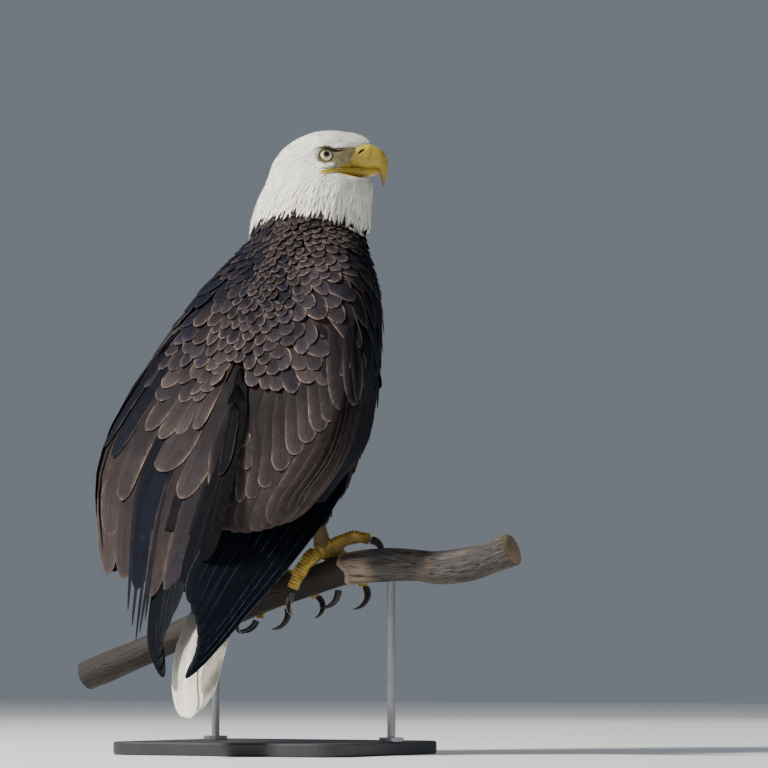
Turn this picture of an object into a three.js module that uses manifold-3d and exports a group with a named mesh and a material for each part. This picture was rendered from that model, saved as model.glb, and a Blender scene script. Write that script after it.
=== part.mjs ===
// A life-size bald eagle, perched on a cut length of branch that two rods hold above a flat base.
// Millimetres, +Z up. The origin is the centre of the base's underside. The bird's breast faces -Y, its right
// wing is on the -X side, and its head is turned to its right.
import * as THREE from "three";
import { mergeVertices } from "three/addons/utils/BufferGeometryUtils.js";
import Module from "manifold-3d";

const wasm = await Module();
wasm.setup();

// ---- driving dimensions ----
const PERCH_HEIGHT = 222; // branch axis at the feet, above the floor
const BIRD_FORWARD = 52; // how far the bird's own origin lies in front of the base's centre
const HEAD_TURN = THREE.MathUtils.degToRad(60); // to the bird's right
const BRANCH_LINE = 27; // the branch's Y, in the bird's own frame
const BRANCH_RADIUS = 20.5;
const EYE_RADIUS = 10.5;
const EYE_SPREAD = 27; // each eye's centre from the head's mid-plane
const GAP = 0.5; // clearance between neighbouring pieces
const BASE = { width: 330, depth: 280, height: 16, corner: 36, bevel: 2 };
const ROD = { radius: 5, flange: 15, flangeHeight: 5, sink: 9, places: [104, -150] };

// ---- small tools ----
const vec = (a) => new THREE.Vector3(...a);
const curve = (points) => new THREE.CatmullRomCurve3(points.map(vec));
const mirrored = (rows, side) => rows.map((row) => row.map(([x, y, z]) => [side * x, y, z]));

// A triangle mesh with shared corners, and with nothing but positions.
function bare(geometry) {
  const copy = geometry.clone();
  copy.deleteAttribute("normal");
  copy.deleteAttribute("uv");
  return mergeVertices(copy, 1e-4);
}

function toSolid(geometry) {
  const merged = bare(geometry);
  const vertProperties = new Float32Array(merged.attributes.position.array);
  const build = (triVerts) =>
    new wasm.Manifold(new wasm.Mesh({ numProp: 3, vertProperties, triVerts }));
  const triVerts = new Uint32Array(merged.index.array);
  const solid = build(triVerts);
  return solid.volume() > 0 ? solid : build(triVerts.reverse());
}

function toGeometry(solid) {
  const mesh = solid.getMesh();
  return new THREE.BufferGeometry()
    .setAttribute("position", new THREE.BufferAttribute(mesh.vertProperties, 3))
    .setIndex(new THREE.BufferAttribute(mesh.triVerts, 1));
}

// The same solid a little larger all round, to cut a neighbour with. Each corner moves out along the mean
// of its faces' normals, far enough for all of those faces to clear their old places.
function grown(solid, by = GAP) {
  const geometry = bare(toGeometry(solid));
  const { position } = geometry.attributes;
  const { index } = geometry;
  const corners = Array.from({ length: position.count }, () => []);
  for (let f = 0; f < index.count; f += 3) {
    const ids = [0, 1, 2].map((k) => index.getX(f + k));
    const [a, b, c] = ids.map((id) => new THREE.Vector3().fromBufferAttribute(position, id));
    const normal = b.clone().sub(a).cross(c.clone().sub(a));
    if (normal.length() > 1e-6) ids.forEach((id) => corners[id].push(normal.clone().normalize()));
  }
  const steepest = 0.4; // limits how far a sharp corner runs out
  corners.forEach((normals, id) => {
    const mean = normals.reduce((sum, normal) => sum.add(normal), vec([0, 0, 0])).normalize();
    const least = Math.max(steepest, Math.min(...normals.map((normal) => normal.dot(mean))));
    const point = new THREE.Vector3().fromBufferAttribute(position, id).addScaledVector(mean, by / least);
    position.setXYZ(id, ...point);
  });
  return toSolid(geometry);
}

// Whether two solids' boxes touch, or come within the gap of it.
function near(one, other) {
  const [a, b] = [one.boundingBox(), other.boundingBox()];
  return [0, 1, 2].every((k) => a.min[k] < b.max[k] + GAP && b.min[k] < a.max[k] + GAP);
}

// What is left of a solid beside its neighbours, without loose crumbs.
function carved(solid, neighbours) {
  const left = neighbours
    .filter((other) => near(solid, other))
    .reduce((rest, other) => rest.subtract(grown(other)), solid);
  return left.decompose().sort((a, b) => b.volume() - a.volume())[0];
}

// A very large block that fills the side of a plane that its normal points to.
function halfSpace(point, normal) {
  const side = 2000;
  const block = new THREE.BoxGeometry(side, side, side);
  const towards = vec(normal).normalize();
  block.applyQuaternion(new THREE.Quaternion().setFromUnitVectors(vec([0, 0, 1]), towards));
  const centre = vec(point).addScaledVector(towards, side / 2);
  return toSolid(block.translate(centre.x, centre.y, centre.z));
}

// Joins rings of equal length into a closed skin, with a point at each end.
function skinned(rings, first, last) {
  const sides = rings[0].length;
  const points = [first, ...rings.flat(), last];
  const at = (ring, k) => 1 + ring * sides + (k % sides);
  const faces = [];
  for (let k = 0; k < sides; k++) {
    faces.push(0, at(0, k + 1), at(0, k));
    for (let r = 0; r + 1 < rings.length; r++) {
      faces.push(at(r, k), at(r, k + 1), at(r + 1, k));
      faces.push(at(r, k + 1), at(r + 1, k + 1), at(r + 1, k));
    }
    faces.push(points.length - 1, at(rings.length - 1, k), at(rings.length - 1, k + 1));
  }
  return new THREE.BufferGeometry().setFromPoints(points).setIndex(faces);
}

// A round-sectioned body along a path. Each size is [half width to the side, half depth behind, half depth
// in front]. `side` is the direction of the width, and `facing` the way that all rings face, where they don't
// follow the path. Each end rounds off over its share of the path, `dome`.
function loft({ path, size, side = [1, 0, 0], facing, rings = 10, sides = 16, dome = [0, 0] }) {
  const centres = curve(path);
  const halves = curve(size);
  const steps = [];
  const domeSteps = 2;
  for (let k = 1; k <= domeSteps && dome[0]; k++) {
    const turn = (k / domeSteps) * (Math.PI / 2);
    steps.push([dome[0] * (1 - Math.cos(turn)), Math.sin(turn)]);
  }
  for (let k = 0; k <= rings; k++) {
    const t = dome[0] + (k / rings) * (1 - dome[0] - dome[1]);
    if ((k > 0 || !dome[0]) && (k < rings || !dome[1])) steps.push([t, 1]);
  }
  for (let k = domeSteps; k >= 1 && dome[1]; k--) {
    const turn = (k / domeSteps) * (Math.PI / 2);
    steps.push([1 - dome[1] * (1 - Math.cos(turn)), Math.sin(turn)]);
  }
  const ringAt = ([t, share]) => {
    const centre = centres.getPoint(t);
    const along = facing ? vec(facing) : centres.getTangent(t);
    const half = halves.getPoint(t).multiplyScalar(share);
    const across = vec(side).addScaledVector(along, -vec(side).dot(along)).normalize();
    const behind = new THREE.Vector3().crossVectors(along, across);
    return Array.from({ length: sides }, (_, k) => {
      const turn = (k / sides) * 2 * Math.PI;
      const depth = Math.sin(turn) > 0 ? half.y : half.z;
      return centre
        .clone()
        .addScaledVector(across, half.x * Math.cos(turn))
        .addScaledVector(behind, depth * Math.sin(turn));
    });
  };
  return toSolid(skinned(steps.map(ringAt), centres.getPoint(0), centres.getPoint(1)));
}

// A smooth surface through rows of points: u runs along a row, v from the first row to the last.
function patch(rows) {
  const lines = rows.map(curve);
  return (u, v) => new THREE.CatmullRomCurve3(lines.map((line) => line.getPoint(u))).getPoint(v);
}

// A sheet of some thickness behind the surface at(u, v). `away` points out of its outer face.
function sheet({ at, thick, away, across, down }) {
  const outer = [];
  const inner = [];
  const nudge = 1e-3;
  for (let j = 0; j <= down; j++) {
    for (let i = 0; i <= across; i++) {
      const [u, v] = [i / across, j / down];
      const step = (du, dv) => at(Math.min(Math.max(u + du, 0), 1), Math.min(Math.max(v + dv, 0), 1));
      const alongU = step(nudge, 0).sub(step(-nudge, 0));
      const alongV = step(0, nudge).sub(step(0, -nudge));
      const normal = alongU.cross(alongV).normalize();
      const point = at(u, v);
      if (normal.dot(away(point)) < 0) normal.negate();
      outer.push(point);
      inner.push(point.clone().addScaledVector(normal, -thick(u, v)));
    }
  }
  const row = across + 1;
  const count = outer.length;
  const faces = [];
  const quad = (a, b, c, d) => faces.push(a, b, c, a, c, d);
  for (let j = 0; j < down; j++) {
    for (let i = 0; i < across; i++) {
      const a = j * row + i;
      quad(a, a + 1, a + row + 1, a + row);
      quad(count + a, count + a + row, count + a + row + 1, count + a + 1);
    }
    const [left, right] = [j * row, j * row + across];
    quad(left, left + row, count + left + row, count + left);
    quad(right, count + right, count + right + row, right + row);
  }
  for (let i = 0; i < across; i++) {
    const [top, bottom] = [i, down * row + i];
    quad(top, count + top, count + top + 1, top + 1);
    quad(bottom, bottom + 1, count + bottom + 1, count + bottom);
  }
  return toSolid(new THREE.BufferGeometry().setFromPoints([...outer, ...inner]).setIndex(faces));
}

// ---- the perch and its stand ----
const BRANCH_PATH = [
  [300, -126], [268, -115], [211, -95], [126, -62], [48, -32], [-19, -13], [-91, 6],
  [-143, 10], [-186, 9], [-216, 6], [-258, 10], [-293, 18], [-318, 27],
].map(([x, z]) => [x, BRANCH_LINE, z]);
const branchLine = curve(BRANCH_PATH);

// The branch's axis at a given X.
function branchAt(x) {
  let [low, high] = [0, 1];
  for (let k = 0; k < 30; k++) {
    const middle = (low + high) / 2;
    if (branchLine.getPoint(middle).x > x) low = middle;
    else high = middle;
  }
  return branchLine.getPoint(low);
}

function makeBranch() {
  const size = BRANCH_PATH.map((_, k) => {
    const r = BRANCH_RADIUS + 0.9 * Math.sin(2.1 * k);
    return [r, r, r];
  });
  return loft({ path: BRANCH_PATH, size, side: [0, 1, 0], rings: 14, sides: 10 });
}

function makeRod(x) {
  const top = branchAt(x).z - BRANCH_RADIUS + ROD.sink + PERCH_HEIGHT;
  const bottom = BASE.height + GAP;
  const profile = [
    [0, bottom], [ROD.flange, bottom], [ROD.flange, bottom + ROD.flangeHeight],
    [ROD.radius, bottom + ROD.flangeHeight], [ROD.radius, top], [0, top],
  ].map(([r, z]) => new THREE.Vector2(r, z));
  const rod = new THREE.LatheGeometry(profile, 12).rotateX(Math.PI / 2);
  return toSolid(rod.translate(x, BRANCH_LINE, -PERCH_HEIGHT));
}

function makeBase() {
  const { width, depth, height, corner, bevel } = BASE;
  const [w, d] = [width / 2 - bevel, depth / 2 - bevel];
  const plate = new THREE.Shape();
  plate.moveTo(-w + corner, -d);
  plate.lineTo(w - corner, -d);
  plate.absarc(w - corner, -d + corner, corner, -Math.PI / 2, 0);
  plate.lineTo(w, d - corner);
  plate.absarc(w - corner, d - corner, corner, 0, Math.PI / 2);
  plate.lineTo(-w + corner, d);
  plate.absarc(-w + corner, d - corner, corner, Math.PI / 2, Math.PI);
  plate.lineTo(-w, -d + corner);
  plate.absarc(-w + corner, -d + corner, corner, Math.PI, 1.5 * Math.PI);
  const options = { depth: height - 2 * bevel, bevelThickness: bevel, bevelSize: bevel, bevelSegments: 1 };
  const slab = new THREE.ExtrudeGeometry(plate, { ...options, curveSegments: 4 });
  return toSolid(slab.translate(0, BIRD_FORWARD, bevel - PERCH_HEIGHT));
}

// ---- head, bill and neck ----
const HEAD = [-15, -44, 526]; // midway between the eyes
const AHEAD = vec([-Math.sin(HEAD_TURN), -Math.cos(HEAD_TURN), 0]); // where the bill points
const ASIDE = vec([-Math.cos(HEAD_TURN), Math.sin(HEAD_TURN), 0]); // out of the head's right cheek

// A point given by how far it lies ahead of the eyes, above them, and towards the right cheek.
function onHead(ahead, above, aside = 0) {
  const point = vec(HEAD).addScaledVector(AHEAD, ahead).addScaledVector(ASIDE, aside);
  return [point.x, point.y, point.z + above];
}

// Head stations from the nape to the brow, where the feathers end in a wedge over the bill's root:
// [ahead, top, bottom, half width].
const HEAD_STATIONS = [
  [-74, -14, -44, 18], [-62, 7, -54, 31], [-48, 20, -58, 38], [-32, 30, -56, 41], [-14, 36, -48, 41],
  [2, 37.5, -42, 38], [16, 37, -36, 32], [28, 34.5, -30, 24.5], [38, 30, -20, 17.5], [48, 24.5, 0, 11], [57, 18, 8, 5],
];

// A body that runs ahead in the head's own frame, from stations of that kind.
function headLoft(stations, options) {
  const path = stations.map(([ahead, top, bottom]) => onHead(ahead, (top + bottom) / 2));
  const size = stations.map(([, top, bottom, half]) => [half, (top - bottom) / 2, (top - bottom) / 2]);
  return loft({ path, size, side: ASIDE.toArray(), facing: AHEAD.toArray(), ...options });
}

function makeEye(side) {
  const eye = new THREE.SphereGeometry(EYE_RADIUS, 12, 8);
  return toSolid(eye.translate(...onHead(0, 0, side * EYE_SPREAD)));
}

// The hollow under the brow that an eye looks out of.
function makeSocket(side) {
  const hollow = new THREE.SphereGeometry(13.5, 10, 8);
  hollow.scale(1, 1, 0.82);
  return toSolid(hollow.translate(...onHead(1, 0, side * (EYE_SPREAD + 15))));
}

function makeUpperBill() {
  // [ahead, above, half height, half width] down the bill and round its hook
  const stations = [
    [20, -2, 15, 18.5], [37, -0.5, 16.6, 19.5], [51, -1.5, 16.6, 16.6], [61.5, -5.5, 14.4, 13.2],
    [68.5, -13.5, 10.4, 10], [71, -22.5, 6.4, 6.6], [70.4, -34, 0.8, 1],
  ];
  const path = stations.map(([ahead, above]) => onHead(ahead, above));
  const size = stations.map(([, , half, width]) => [width, half, half]);
  return loft({ path, size, side: ASIDE.toArray(), rings: 10, sides: 14 });
}

// The lower bill and, behind it, the wide yellow corners of the mouth that reach back below the eyes.
function makeLowerBill() {
  const stations = [
    [-7, -15.5, -22, 37.5], [8, -14.5, -25, 36.5], [20, -14, -27.5, 31], [34, -13.5, -27, 21],
    [50, -14, -25.5, 12.5], [65, -16, -23, 5.5],
  ];
  return headLoft(stations, { rings: 7, sides: 10, dome: [0.04, 0.06] });
}

function makeNeck() {
  return loft({
    path: [
      [-14, -42, 530], [-13, -38, 508], [-12, -36, 497], [-8, -31, 481], [-3, -27, 450], [0, -26, 425], [0, -22, 385],
    ],
    size: [[36, 48, 5], [50, 67, 26], [53, 69.5, 66], [56, 72, 71], [62, 76, 75], [67, 76, 78], [62, 56, 72]],
    side: ASIDE.toArray(),
    facing: [0, 0, -1],
    rings: 12,
    sides: 16,
  });
}

// ---- trunk and legs ----
function makeTrunk() {
  return loft({
    path: [[0, -26, 448], [0, -22, 405], [0, 0, 335], [0, 26, 240], [0, 56, 150], [0, 90, 72], [0, 122, 22]],
    size: [[50, 40, 56], [78, 50, 64], [94, 66, 84], [98, 78, 90], [84, 74, 80], [60, 52, 54], [40, 26, 30]],
    rings: 9,
    sides: 20,
    dome: [0.05, 0.05],
  });
}

// Where each foot stands along the branch, where its leg leaves the body, and its toes as
// [X where the toe ends, degrees round the branch from its top where it starts and ends, length of its claw,
// degrees that the claw's hook is turned sideways from the branch].
const LEGS = {
  right: {
    foot: -52,
    knee: [-54, 2, 185],
    toes: { inner: [-55, 16, 112, 36, 50], middle: [-96, 22, 126, 44, 60], outer: [-114, 8, 16, 38, 0], hind: [-30, -24, -104, 46, 0] },
  },
  left: {
    foot: 34,
    knee: [50, 4, 175],
    toes: { inner: [-24, 20, 114, 38, 58], middle: [18, 16, 116, 40, 50], outer: [62, 18, 118, 34, 40], hind: [48, -24, -104, 46, 0] },
  },
};

function legPoints({ foot, knee }) {
  const ground = branchAt(foot);
  const sole = [foot, BRANCH_LINE - 2, ground.z + BRANCH_RADIUS + 13];
  const heel = [foot * 1.04, BRANCH_LINE + 24, sole[2] + 56];
  return { knee, heel, sole };
}

function makeThigh(leg) {
  const { knee, heel, sole } = legPoints(leg);
  const cuff = heel.map((value, k) => value * 0.55 + sole[k] * 0.45);
  const middle = knee.map((value, k) => (value + heel[k]) / 2);
  return loft({
    path: [knee, middle, heel, cuff],
    size: [[42, 46, 52], [40, 42, 46], [27, 28, 27], [16, 16, 16]],
    rings: 5,
    sides: 12,
    dome: [0.1, 0.05],
  });
}

function makeTarsus(leg) {
  const { heel, sole } = legPoints(leg);
  return loft({
    path: [heel, heel.map((value, k) => (value + sole[k]) / 2), sole, [sole[0], sole[1] - 3, sole[2] - 9]],
    size: [[9, 10, 9], [8, 9, 8], [12, 11, 12], [13, 12, 13]],
    rings: 4,
    sides: 8,
    dome: [0.08, 0.12],
  });
}

// A point near the branch: `turn` degrees forward and down from its top, at a given distance from its axis.
function aroundBranch(x, turn, distance) {
  const centre = branchAt(x);
  const angle = THREE.MathUtils.degToRad(turn);
  return [x, centre.y - distance * Math.sin(angle), centre.z + distance * Math.cos(angle)];
}

const TOE_RADIUS = [9.6, 7];
const HIND_TOE_RADIUS = [10, 7.5];
const TOE_STEPS = 5;

// A toe lies on the branch where it goes along it, and hugs it where it goes round.
const liesAlong = ([, first, last]) => Math.abs(last - first) < 30;

// The centre line of a toe, from under the foot to its last joint.
function toeLine(leg, name) {
  const [endX, first, last] = leg.toes[name];
  const [thick, thin] = name === "hind" ? HIND_TOE_RADIUS : TOE_RADIUS;
  return Array.from({ length: TOE_STEPS + 1 }, (_, k) => {
    const t = k / TOE_STEPS;
    const x = leg.foot + (endX - leg.foot) * (0.1 + 0.9 * t);
    const lift = liesAlong(leg.toes[name]) ? 7 * Math.sin(Math.PI * t) + 6 * t : 7 * t ** 3;
    return aroundBranch(x, first + (last - first) * t, BRANCH_RADIUS + 1.2 + thick + (thin - thick) * t + lift);
  });
}

// The centre line of its claw, which carries on from the toe's end and hooks in towards the branch.
function clawLine(leg, name) {
  const line = toeLine(leg, name);
  const end = vec(line[TOE_STEPS]);
  const heading = end.clone().sub(vec(line[TOE_STEPS - 1])).normalize();
  const inward = vec(branchAt(end.x).toArray()).sub(end);
  inward.addScaledVector(heading, -inward.dot(heading)).normalize();
  inward.applyAxisAngle(heading, THREE.MathUtils.degToRad(leg.toes[name][4]));
  const hook = 1.7; // radians that a claw turns through
  const radius = leg.toes[name][3] / hook;
  const flatness = 1;
  return Array.from({ length: TOE_STEPS + 1 }, (_, k) => {
    const turn = (k / TOE_STEPS) * hook;
    return end
      .clone()
      .addScaledVector(heading, radius * Math.sin(turn) + 3)
      .addScaledVector(inward, radius * (1 - Math.cos(turn)) * flatness)
      .toArray();
  });
}

function makeToe(leg, name) {
  const path = toeLine(leg, name);
  const [thick, thin] = name === "hind" ? HIND_TOE_RADIUS : TOE_RADIUS;
  const size = path.map((_, k) => {
    const r = thick + ((thin - thick) * k) / TOE_STEPS;
    return [r, r * 0.96, r * 0.96];
  });
  const side = liesAlong(leg.toes[name]) ? [0, 1, 0] : [1, 0, 0];
  return loft({ path, size, side, rings: 5, sides: 8, dome: [0.06, 0.1] });
}

function makeClaw(leg, name) {
  const path = clawLine(leg, name);
  const size = [5.4, 5, 4.2, 3.2, 2, 0.5].map((r) => [r * 0.85, r, r]);
  const side = liesAlong(leg.toes[name]) ? [0, 1, 0] : [1, 0, 0];
  return loft({ path, size, side, rings: 6, sides: 6 });
}

// ---- wings and tail ----
// Each wing's outer surface, in rows from the shoulder down to the tips of the secondaries. Along a row:
// the breast edge, the flank, the rear corner, and the edge over the spine. X is measured outwards.
const RIGHT_WING = [
  [[45, -70, 405], [80, -30, 424], [62, 20, 437], [1, 46, 428]],
  [[80, -68, 345], [112, -12, 345], [112, 68, 350], [1, 96, 350]],
  [[106, -25, 250], [132, 34, 245], [144, 108, 240], [1, 142, 235]],
  [[112, 16, 160], [124, 74, 150], [138, 134, 145], [-3, 178, 140]],
  [[92, 64, 100], [100, 106, 84], [86, 152, 66], [-3, 202, 56]],
];
const LEFT_WING = [
  [[45, -70, 405], [80, -30, 420], [60, 20, 424], [1, 46, 427]],
  [[82, -68, 345], [118, -12, 345], [110, 70, 350], [1, 96, 350]],
  [[116, -22, 245], [158, 42, 240], [166, 122, 238], [1, 142, 235]],
  [[142, 30, 125], [184, 92, 122], [197, 156, 132], [-7, 192, 112]],
  [[160, 88, 10], [186, 136, 4], [172, 182, -6], [5, 238, -36]],
];
const WINGS = {
  right: {
    side: -1,
    rows: RIGHT_WING,
    secondaries: 9,
    // leading and trailing edges of the folded primaries, from under the coverts to the tip
    lead: [[-104, 6, 200], [-100, 48, 110], [-86, 96, 56], [-75, 164, 0], [-50, 218, -52], [-8, 276, -130]],
    trail: [[-36, 112, 185], [-18, 152, 110], [-1, 196, 50], [7, 240, -10], [6, 264, -62], [0, 281, -134]],
  },
  left: {
    side: 1,
    rows: LEFT_WING,
    secondaries: 9,
    lead: [[120, 60, 190], [122, 110, 110], [108, 160, 40], [76, 228, -34], [56, 256, -78], [25, 267, -128]],
    trail: [[60, 110, 180], [44, 150, 110], [34, 184, 50], [34, 224, -20], [30, 250, -76], [20, 269, -132]],
  },
};
const COVERT_SHARE = 0.56; // how far down the wing the covert feathers reach
const SEAM = 0.004; // half the cut between coverts and secondaries, as a share of the wing's height

const outOfBody = (point) => point.clone().sub(vec([0, 30, point.z]));

function makeCoverts({ side, rows }) {
  const at = patch(mirrored(rows, side));
  return sheet({
    at: (u, v) => at(u, v * (COVERT_SHARE - SEAM)),
    thick: (u, v) => 15 + 11 * Math.sin(Math.PI * Math.min(1, u * 0.9 + 0.1)) * (1 - v * 0.5),
    away: outOfBody,
    across: 10,
    down: 5,
  });
}

function makeSecondaries({ side, rows, secondaries }) {
  const at = patch(mirrored(rows, side));
  const start = COVERT_SHARE + SEAM;
  // Each feather's rounded tip draws the lower edge back a little between its neighbours.
  const tip = (u) => 1 - 0.035 * (2 * ((u * secondaries) % 1) - 1) ** 2;
  return sheet({
    at: (u, v) => at(u, start + (tip(u) - start) * v),
    thick: (u, v) => 12 - 8.5 * v,
    away: outOfBody,
    across: 18,
    down: 3,
  });
}

function makePrimaries({ lead, trail }) {
  const [front, back] = [curve(lead), curve(trail)];
  const bulge = 5;
  return sheet({
    at: (u, v) => {
      const point = front.getPoint(v).lerp(back.getPoint(v), u);
      return point.addScaledVector(vec([Math.sign(point.x || 1), 1, 0]).normalize(), bulge * Math.sin(Math.PI * u));
    },
    thick: (u, v) => 7 - 4.5 * v,
    away: (point) => vec([Math.sign(lead[0][0]), 1.2, 0.2]),
    across: 4,
    down: 9,
  });
}

function makeTail() {
  return loft({
    path: [[0, 132, 46], [0, 178, -16], [3, 222, -78], [-2, 247, -128], [-10, 257, -162], [-13, 260, -178]],
    size: [[30, 10, 12], [37, 6, 9], [41, 5, 6], [32, 4.5, 4.5], [21, 3, 3], [9, 2, 2]],
    rings: 7,
    sides: 12,
  });
}

function makeUndertail() {
  return loft({
    path: [[-2, 104, 46], [-4, 142, -4], [-4, 178, -54], [-4, 202, -92]],
    size: [[34, 12, 26], [32, 8, 24], [26, 5, 16], [12, 2, 5]],
    rings: 5,
    sides: 12,
    dome: [0.1, 0.08],
  });
}

// ---- colours ----
const finish = (color, roughness = 0.85, metalness = 0) =>
  new THREE.MeshStandardMaterial({ color, roughness, metalness });
const WHITE_FEATHER = finish(0xe9e4d8);
const BROWN_FEATHER = finish(0x4a3a30);
const DARK_FEATHER = finish(0x20212a);
const BILL_YELLOW = finish(0xd2a52c, 0.4);
const TOE_YELLOW = finish(0xc79a2e, 0.6);
const CLAW_BLACK = finish(0x1d1b1e, 0.3);
const EYE_PALE = finish(0xe6dfae, 0.15);
const BARK_GREY = finish(0x857a6e);
const STAND_BLACK = finish(0x2b2b2d, 0.5);
const STEEL = finish(0x8c8f93, 0.35, 1);

// ---- assembly ----
const bird = new THREE.Group();
bird.position.set(0, -BIRD_FORWARD, PERCH_HEIGHT);

function place(name, solid, material) {
  const mesh = new THREE.Mesh(toGeometry(solid), material);
  mesh.name = name;
  bird.add(mesh);
  return solid;
}

const rods = ROD.places.map(makeRod);
const branch = place("perch_branch", carved(makeBranch(), rods), BARK_GREY);
rods.forEach((rod, k) => place(`stand_rod_${k + 1}`, rod, STEEL));
place("stand_base", makeBase(), STAND_BLACK);

const eyes = { right: makeEye(1), left: makeEye(-1) };
const sockets = [makeSocket(1), makeSocket(-1)];
const upperBill = makeUpperBill();
const lowerBill = carved(makeLowerBill(), [upperBill]);
place("bill_upper", upperBill, BILL_YELLOW);
place("bill_lower", lowerBill, BILL_YELLOW);
Object.entries(eyes).forEach(([side, eye]) => place(`eye_${side}`, eye, EYE_PALE));

// Head, neck and trunk are one body, parted by two thin cuts.
const throat = onHead(44, -52);
const nape = onHead(-84, -30);
const headCut = {
  point: throat,
  normal: vec(throat).sub(vec(nape)).cross(ASIDE).normalize().toArray(),
};
const collarCut = { point: [0, -24, 424], normal: [0, 0.2, 1] };
const shifted = (cut, by) => vec(cut.point).addScaledVector(vec(cut.normal).normalize(), by).toArray();
const reversed = (normal) => normal.map((value) => -value);
const above = (cut) => halfSpace(shifted(cut, GAP / 2), cut.normal);
const below = (cut) => halfSpace(shifted(cut, -GAP / 2), reversed(cut.normal));
if (headCut.normal[2] < 0) headCut.normal = reversed(headCut.normal);

// Each piece is cut by the whole shapes of those that come before it.
const face = makeNeck().add(headLoft(HEAD_STATIONS, { rings: 10, sides: 18, dome: [0.05, 0.02] }));
const head = face.intersect(above(headCut)).subtract(makeSocket(1)).subtract(makeSocket(-1));
place("head", carved(head, [upperBill, lowerBill, eyes.right, eyes.left]), WHITE_FEATHER);
const neck = face.intersect(below(headCut)).intersect(above(collarCut));
place("neck", carved(neck, [lowerBill]), WHITE_FEATHER);

const tail = place("tail", makeTail(), WHITE_FEATHER);
const undertail = makeUndertail();
place("undertail_coverts", carved(undertail, [tail, branch]), WHITE_FEATHER);
const wings = [];
for (const [side, wing] of Object.entries(WINGS)) {
  const layers = [
    ["coverts", makeCoverts(wing), BROWN_FEATHER],
    ["secondaries", makeSecondaries(wing), BROWN_FEATHER],
    ["primaries", makePrimaries(wing), DARK_FEATHER],
  ];
  for (const [layer, solid, material] of layers) {
    place(`wing_${side}_${layer}`, carved(solid, [neck, tail, undertail, ...wings]), material);
    wings.push(solid);
  }
}

const limbs = [];
for (const [side, leg] of Object.entries(LEGS)) {
  const tarsus = makeTarsus(leg);
  place(`tarsus_${side}`, carved(tarsus, [branch]), TOE_YELLOW);
  const names = Object.keys(leg.toes);
  const claws = names.map((name) => makeClaw(leg, name));
  const toes = [];
  names.forEach((name, k) => {
    const toe = makeToe(leg, name);
    place(`claw_${side}_${name}`, carved(claws[k], [branch, ...limbs]), CLAW_BLACK);
    place(`toe_${side}_${name}`, carved(toe, [branch, tarsus, ...claws, ...toes, ...limbs]), TOE_YELLOW);
    toes.push(toe);
  });
  const thigh = makeThigh(leg);
  place(`thigh_${side}`, carved(thigh, [tarsus, branch, ...toes, ...wings, ...limbs]), BROWN_FEATHER);
  limbs.push(thigh, tarsus, ...toes, ...claws);
}

const trunk = makeTrunk().intersect(below(collarCut));
place("trunk", carved(trunk, [neck, tail, undertail, ...wings, ...limbs, branch]), BROWN_FEATHER);

export default bird;
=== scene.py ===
"""A bald eagle on a short cut length of branch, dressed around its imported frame."""

import math

import bmesh
import bpy
import numpy as np
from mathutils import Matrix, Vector, noise
from mathutils.bvhtree import BVHTree


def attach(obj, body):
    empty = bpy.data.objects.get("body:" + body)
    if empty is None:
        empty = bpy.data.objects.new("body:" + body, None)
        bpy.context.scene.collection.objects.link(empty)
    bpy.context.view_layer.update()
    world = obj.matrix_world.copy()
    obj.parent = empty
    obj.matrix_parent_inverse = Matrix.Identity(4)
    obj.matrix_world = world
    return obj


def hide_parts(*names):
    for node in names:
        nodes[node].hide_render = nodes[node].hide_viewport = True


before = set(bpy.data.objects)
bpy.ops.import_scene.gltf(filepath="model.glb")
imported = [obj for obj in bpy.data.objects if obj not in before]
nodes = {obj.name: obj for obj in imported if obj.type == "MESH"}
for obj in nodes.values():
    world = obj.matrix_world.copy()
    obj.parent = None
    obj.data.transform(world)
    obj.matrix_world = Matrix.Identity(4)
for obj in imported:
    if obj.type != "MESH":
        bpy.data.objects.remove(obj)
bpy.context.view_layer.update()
scene = bpy.context.scene
MM = 0.001

# ---- where things are ----
# The bird's own measures are in millimetres about a point low on its axis.
BIRD_ORIGIN = np.array([0.0, -52.0, 222.0])
HEAD = np.array([-15.0, -44.0, 528.4]) + BIRD_ORIGIN
AHEAD = np.array([-0.866, -0.5, 0.0])
ASIDE = np.array([-0.5, 0.866, 0.0])
UP = np.array([0.0, 0.0, 1.0])


def on_head(ahead, above, aside=0.0):
    """A point in millimetres, measured from midway between the eyes."""
    return HEAD + AHEAD * ahead + UP * above + ASIDE * aside


def head_measures(points):
    """How far points in millimetres lie ahead of the eyes, above them and towards the right cheek."""
    away = points - HEAD
    return away @ AHEAD, away[..., 2], away @ ASIDE


def unit(vectors):
    return vectors / np.maximum(np.linalg.norm(vectors, axis=-1, keepdims=True), 1e-9)


def ramp(value, low, high):
    t = np.clip((value - low) / (high - low), 0, 1)
    return t * t * (3 - 2 * t)


# ---- camera, light and floor ----
def set_camera():
    azimuth, elevation, distance, pixel = math.radians(210), math.radians(-4), 5.0, 1.25 * MM
    back = Vector(
        (math.sin(azimuth) * math.cos(elevation), -math.cos(azimuth) * math.cos(elevation), math.sin(elevation))
    )
    right = Vector((math.cos(azimuth), math.sin(azimuth), 0))
    up = back.cross(right)
    target = Vector(BIRD_ORIGIN * MM) + right * 86 * pixel + up * 191 * pixel
    data = bpy.data.cameras.new("camera")
    data.lens, data.sensor_width, data.clip_end = 187.5, 36, 40
    camera = bpy.data.objects.new("camera", data)
    camera.location = target + back * distance
    camera.rotation_euler = back.to_track_quat("Z", "Y").to_euler()
    scene.collection.objects.link(camera)
    scene.camera = camera


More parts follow.
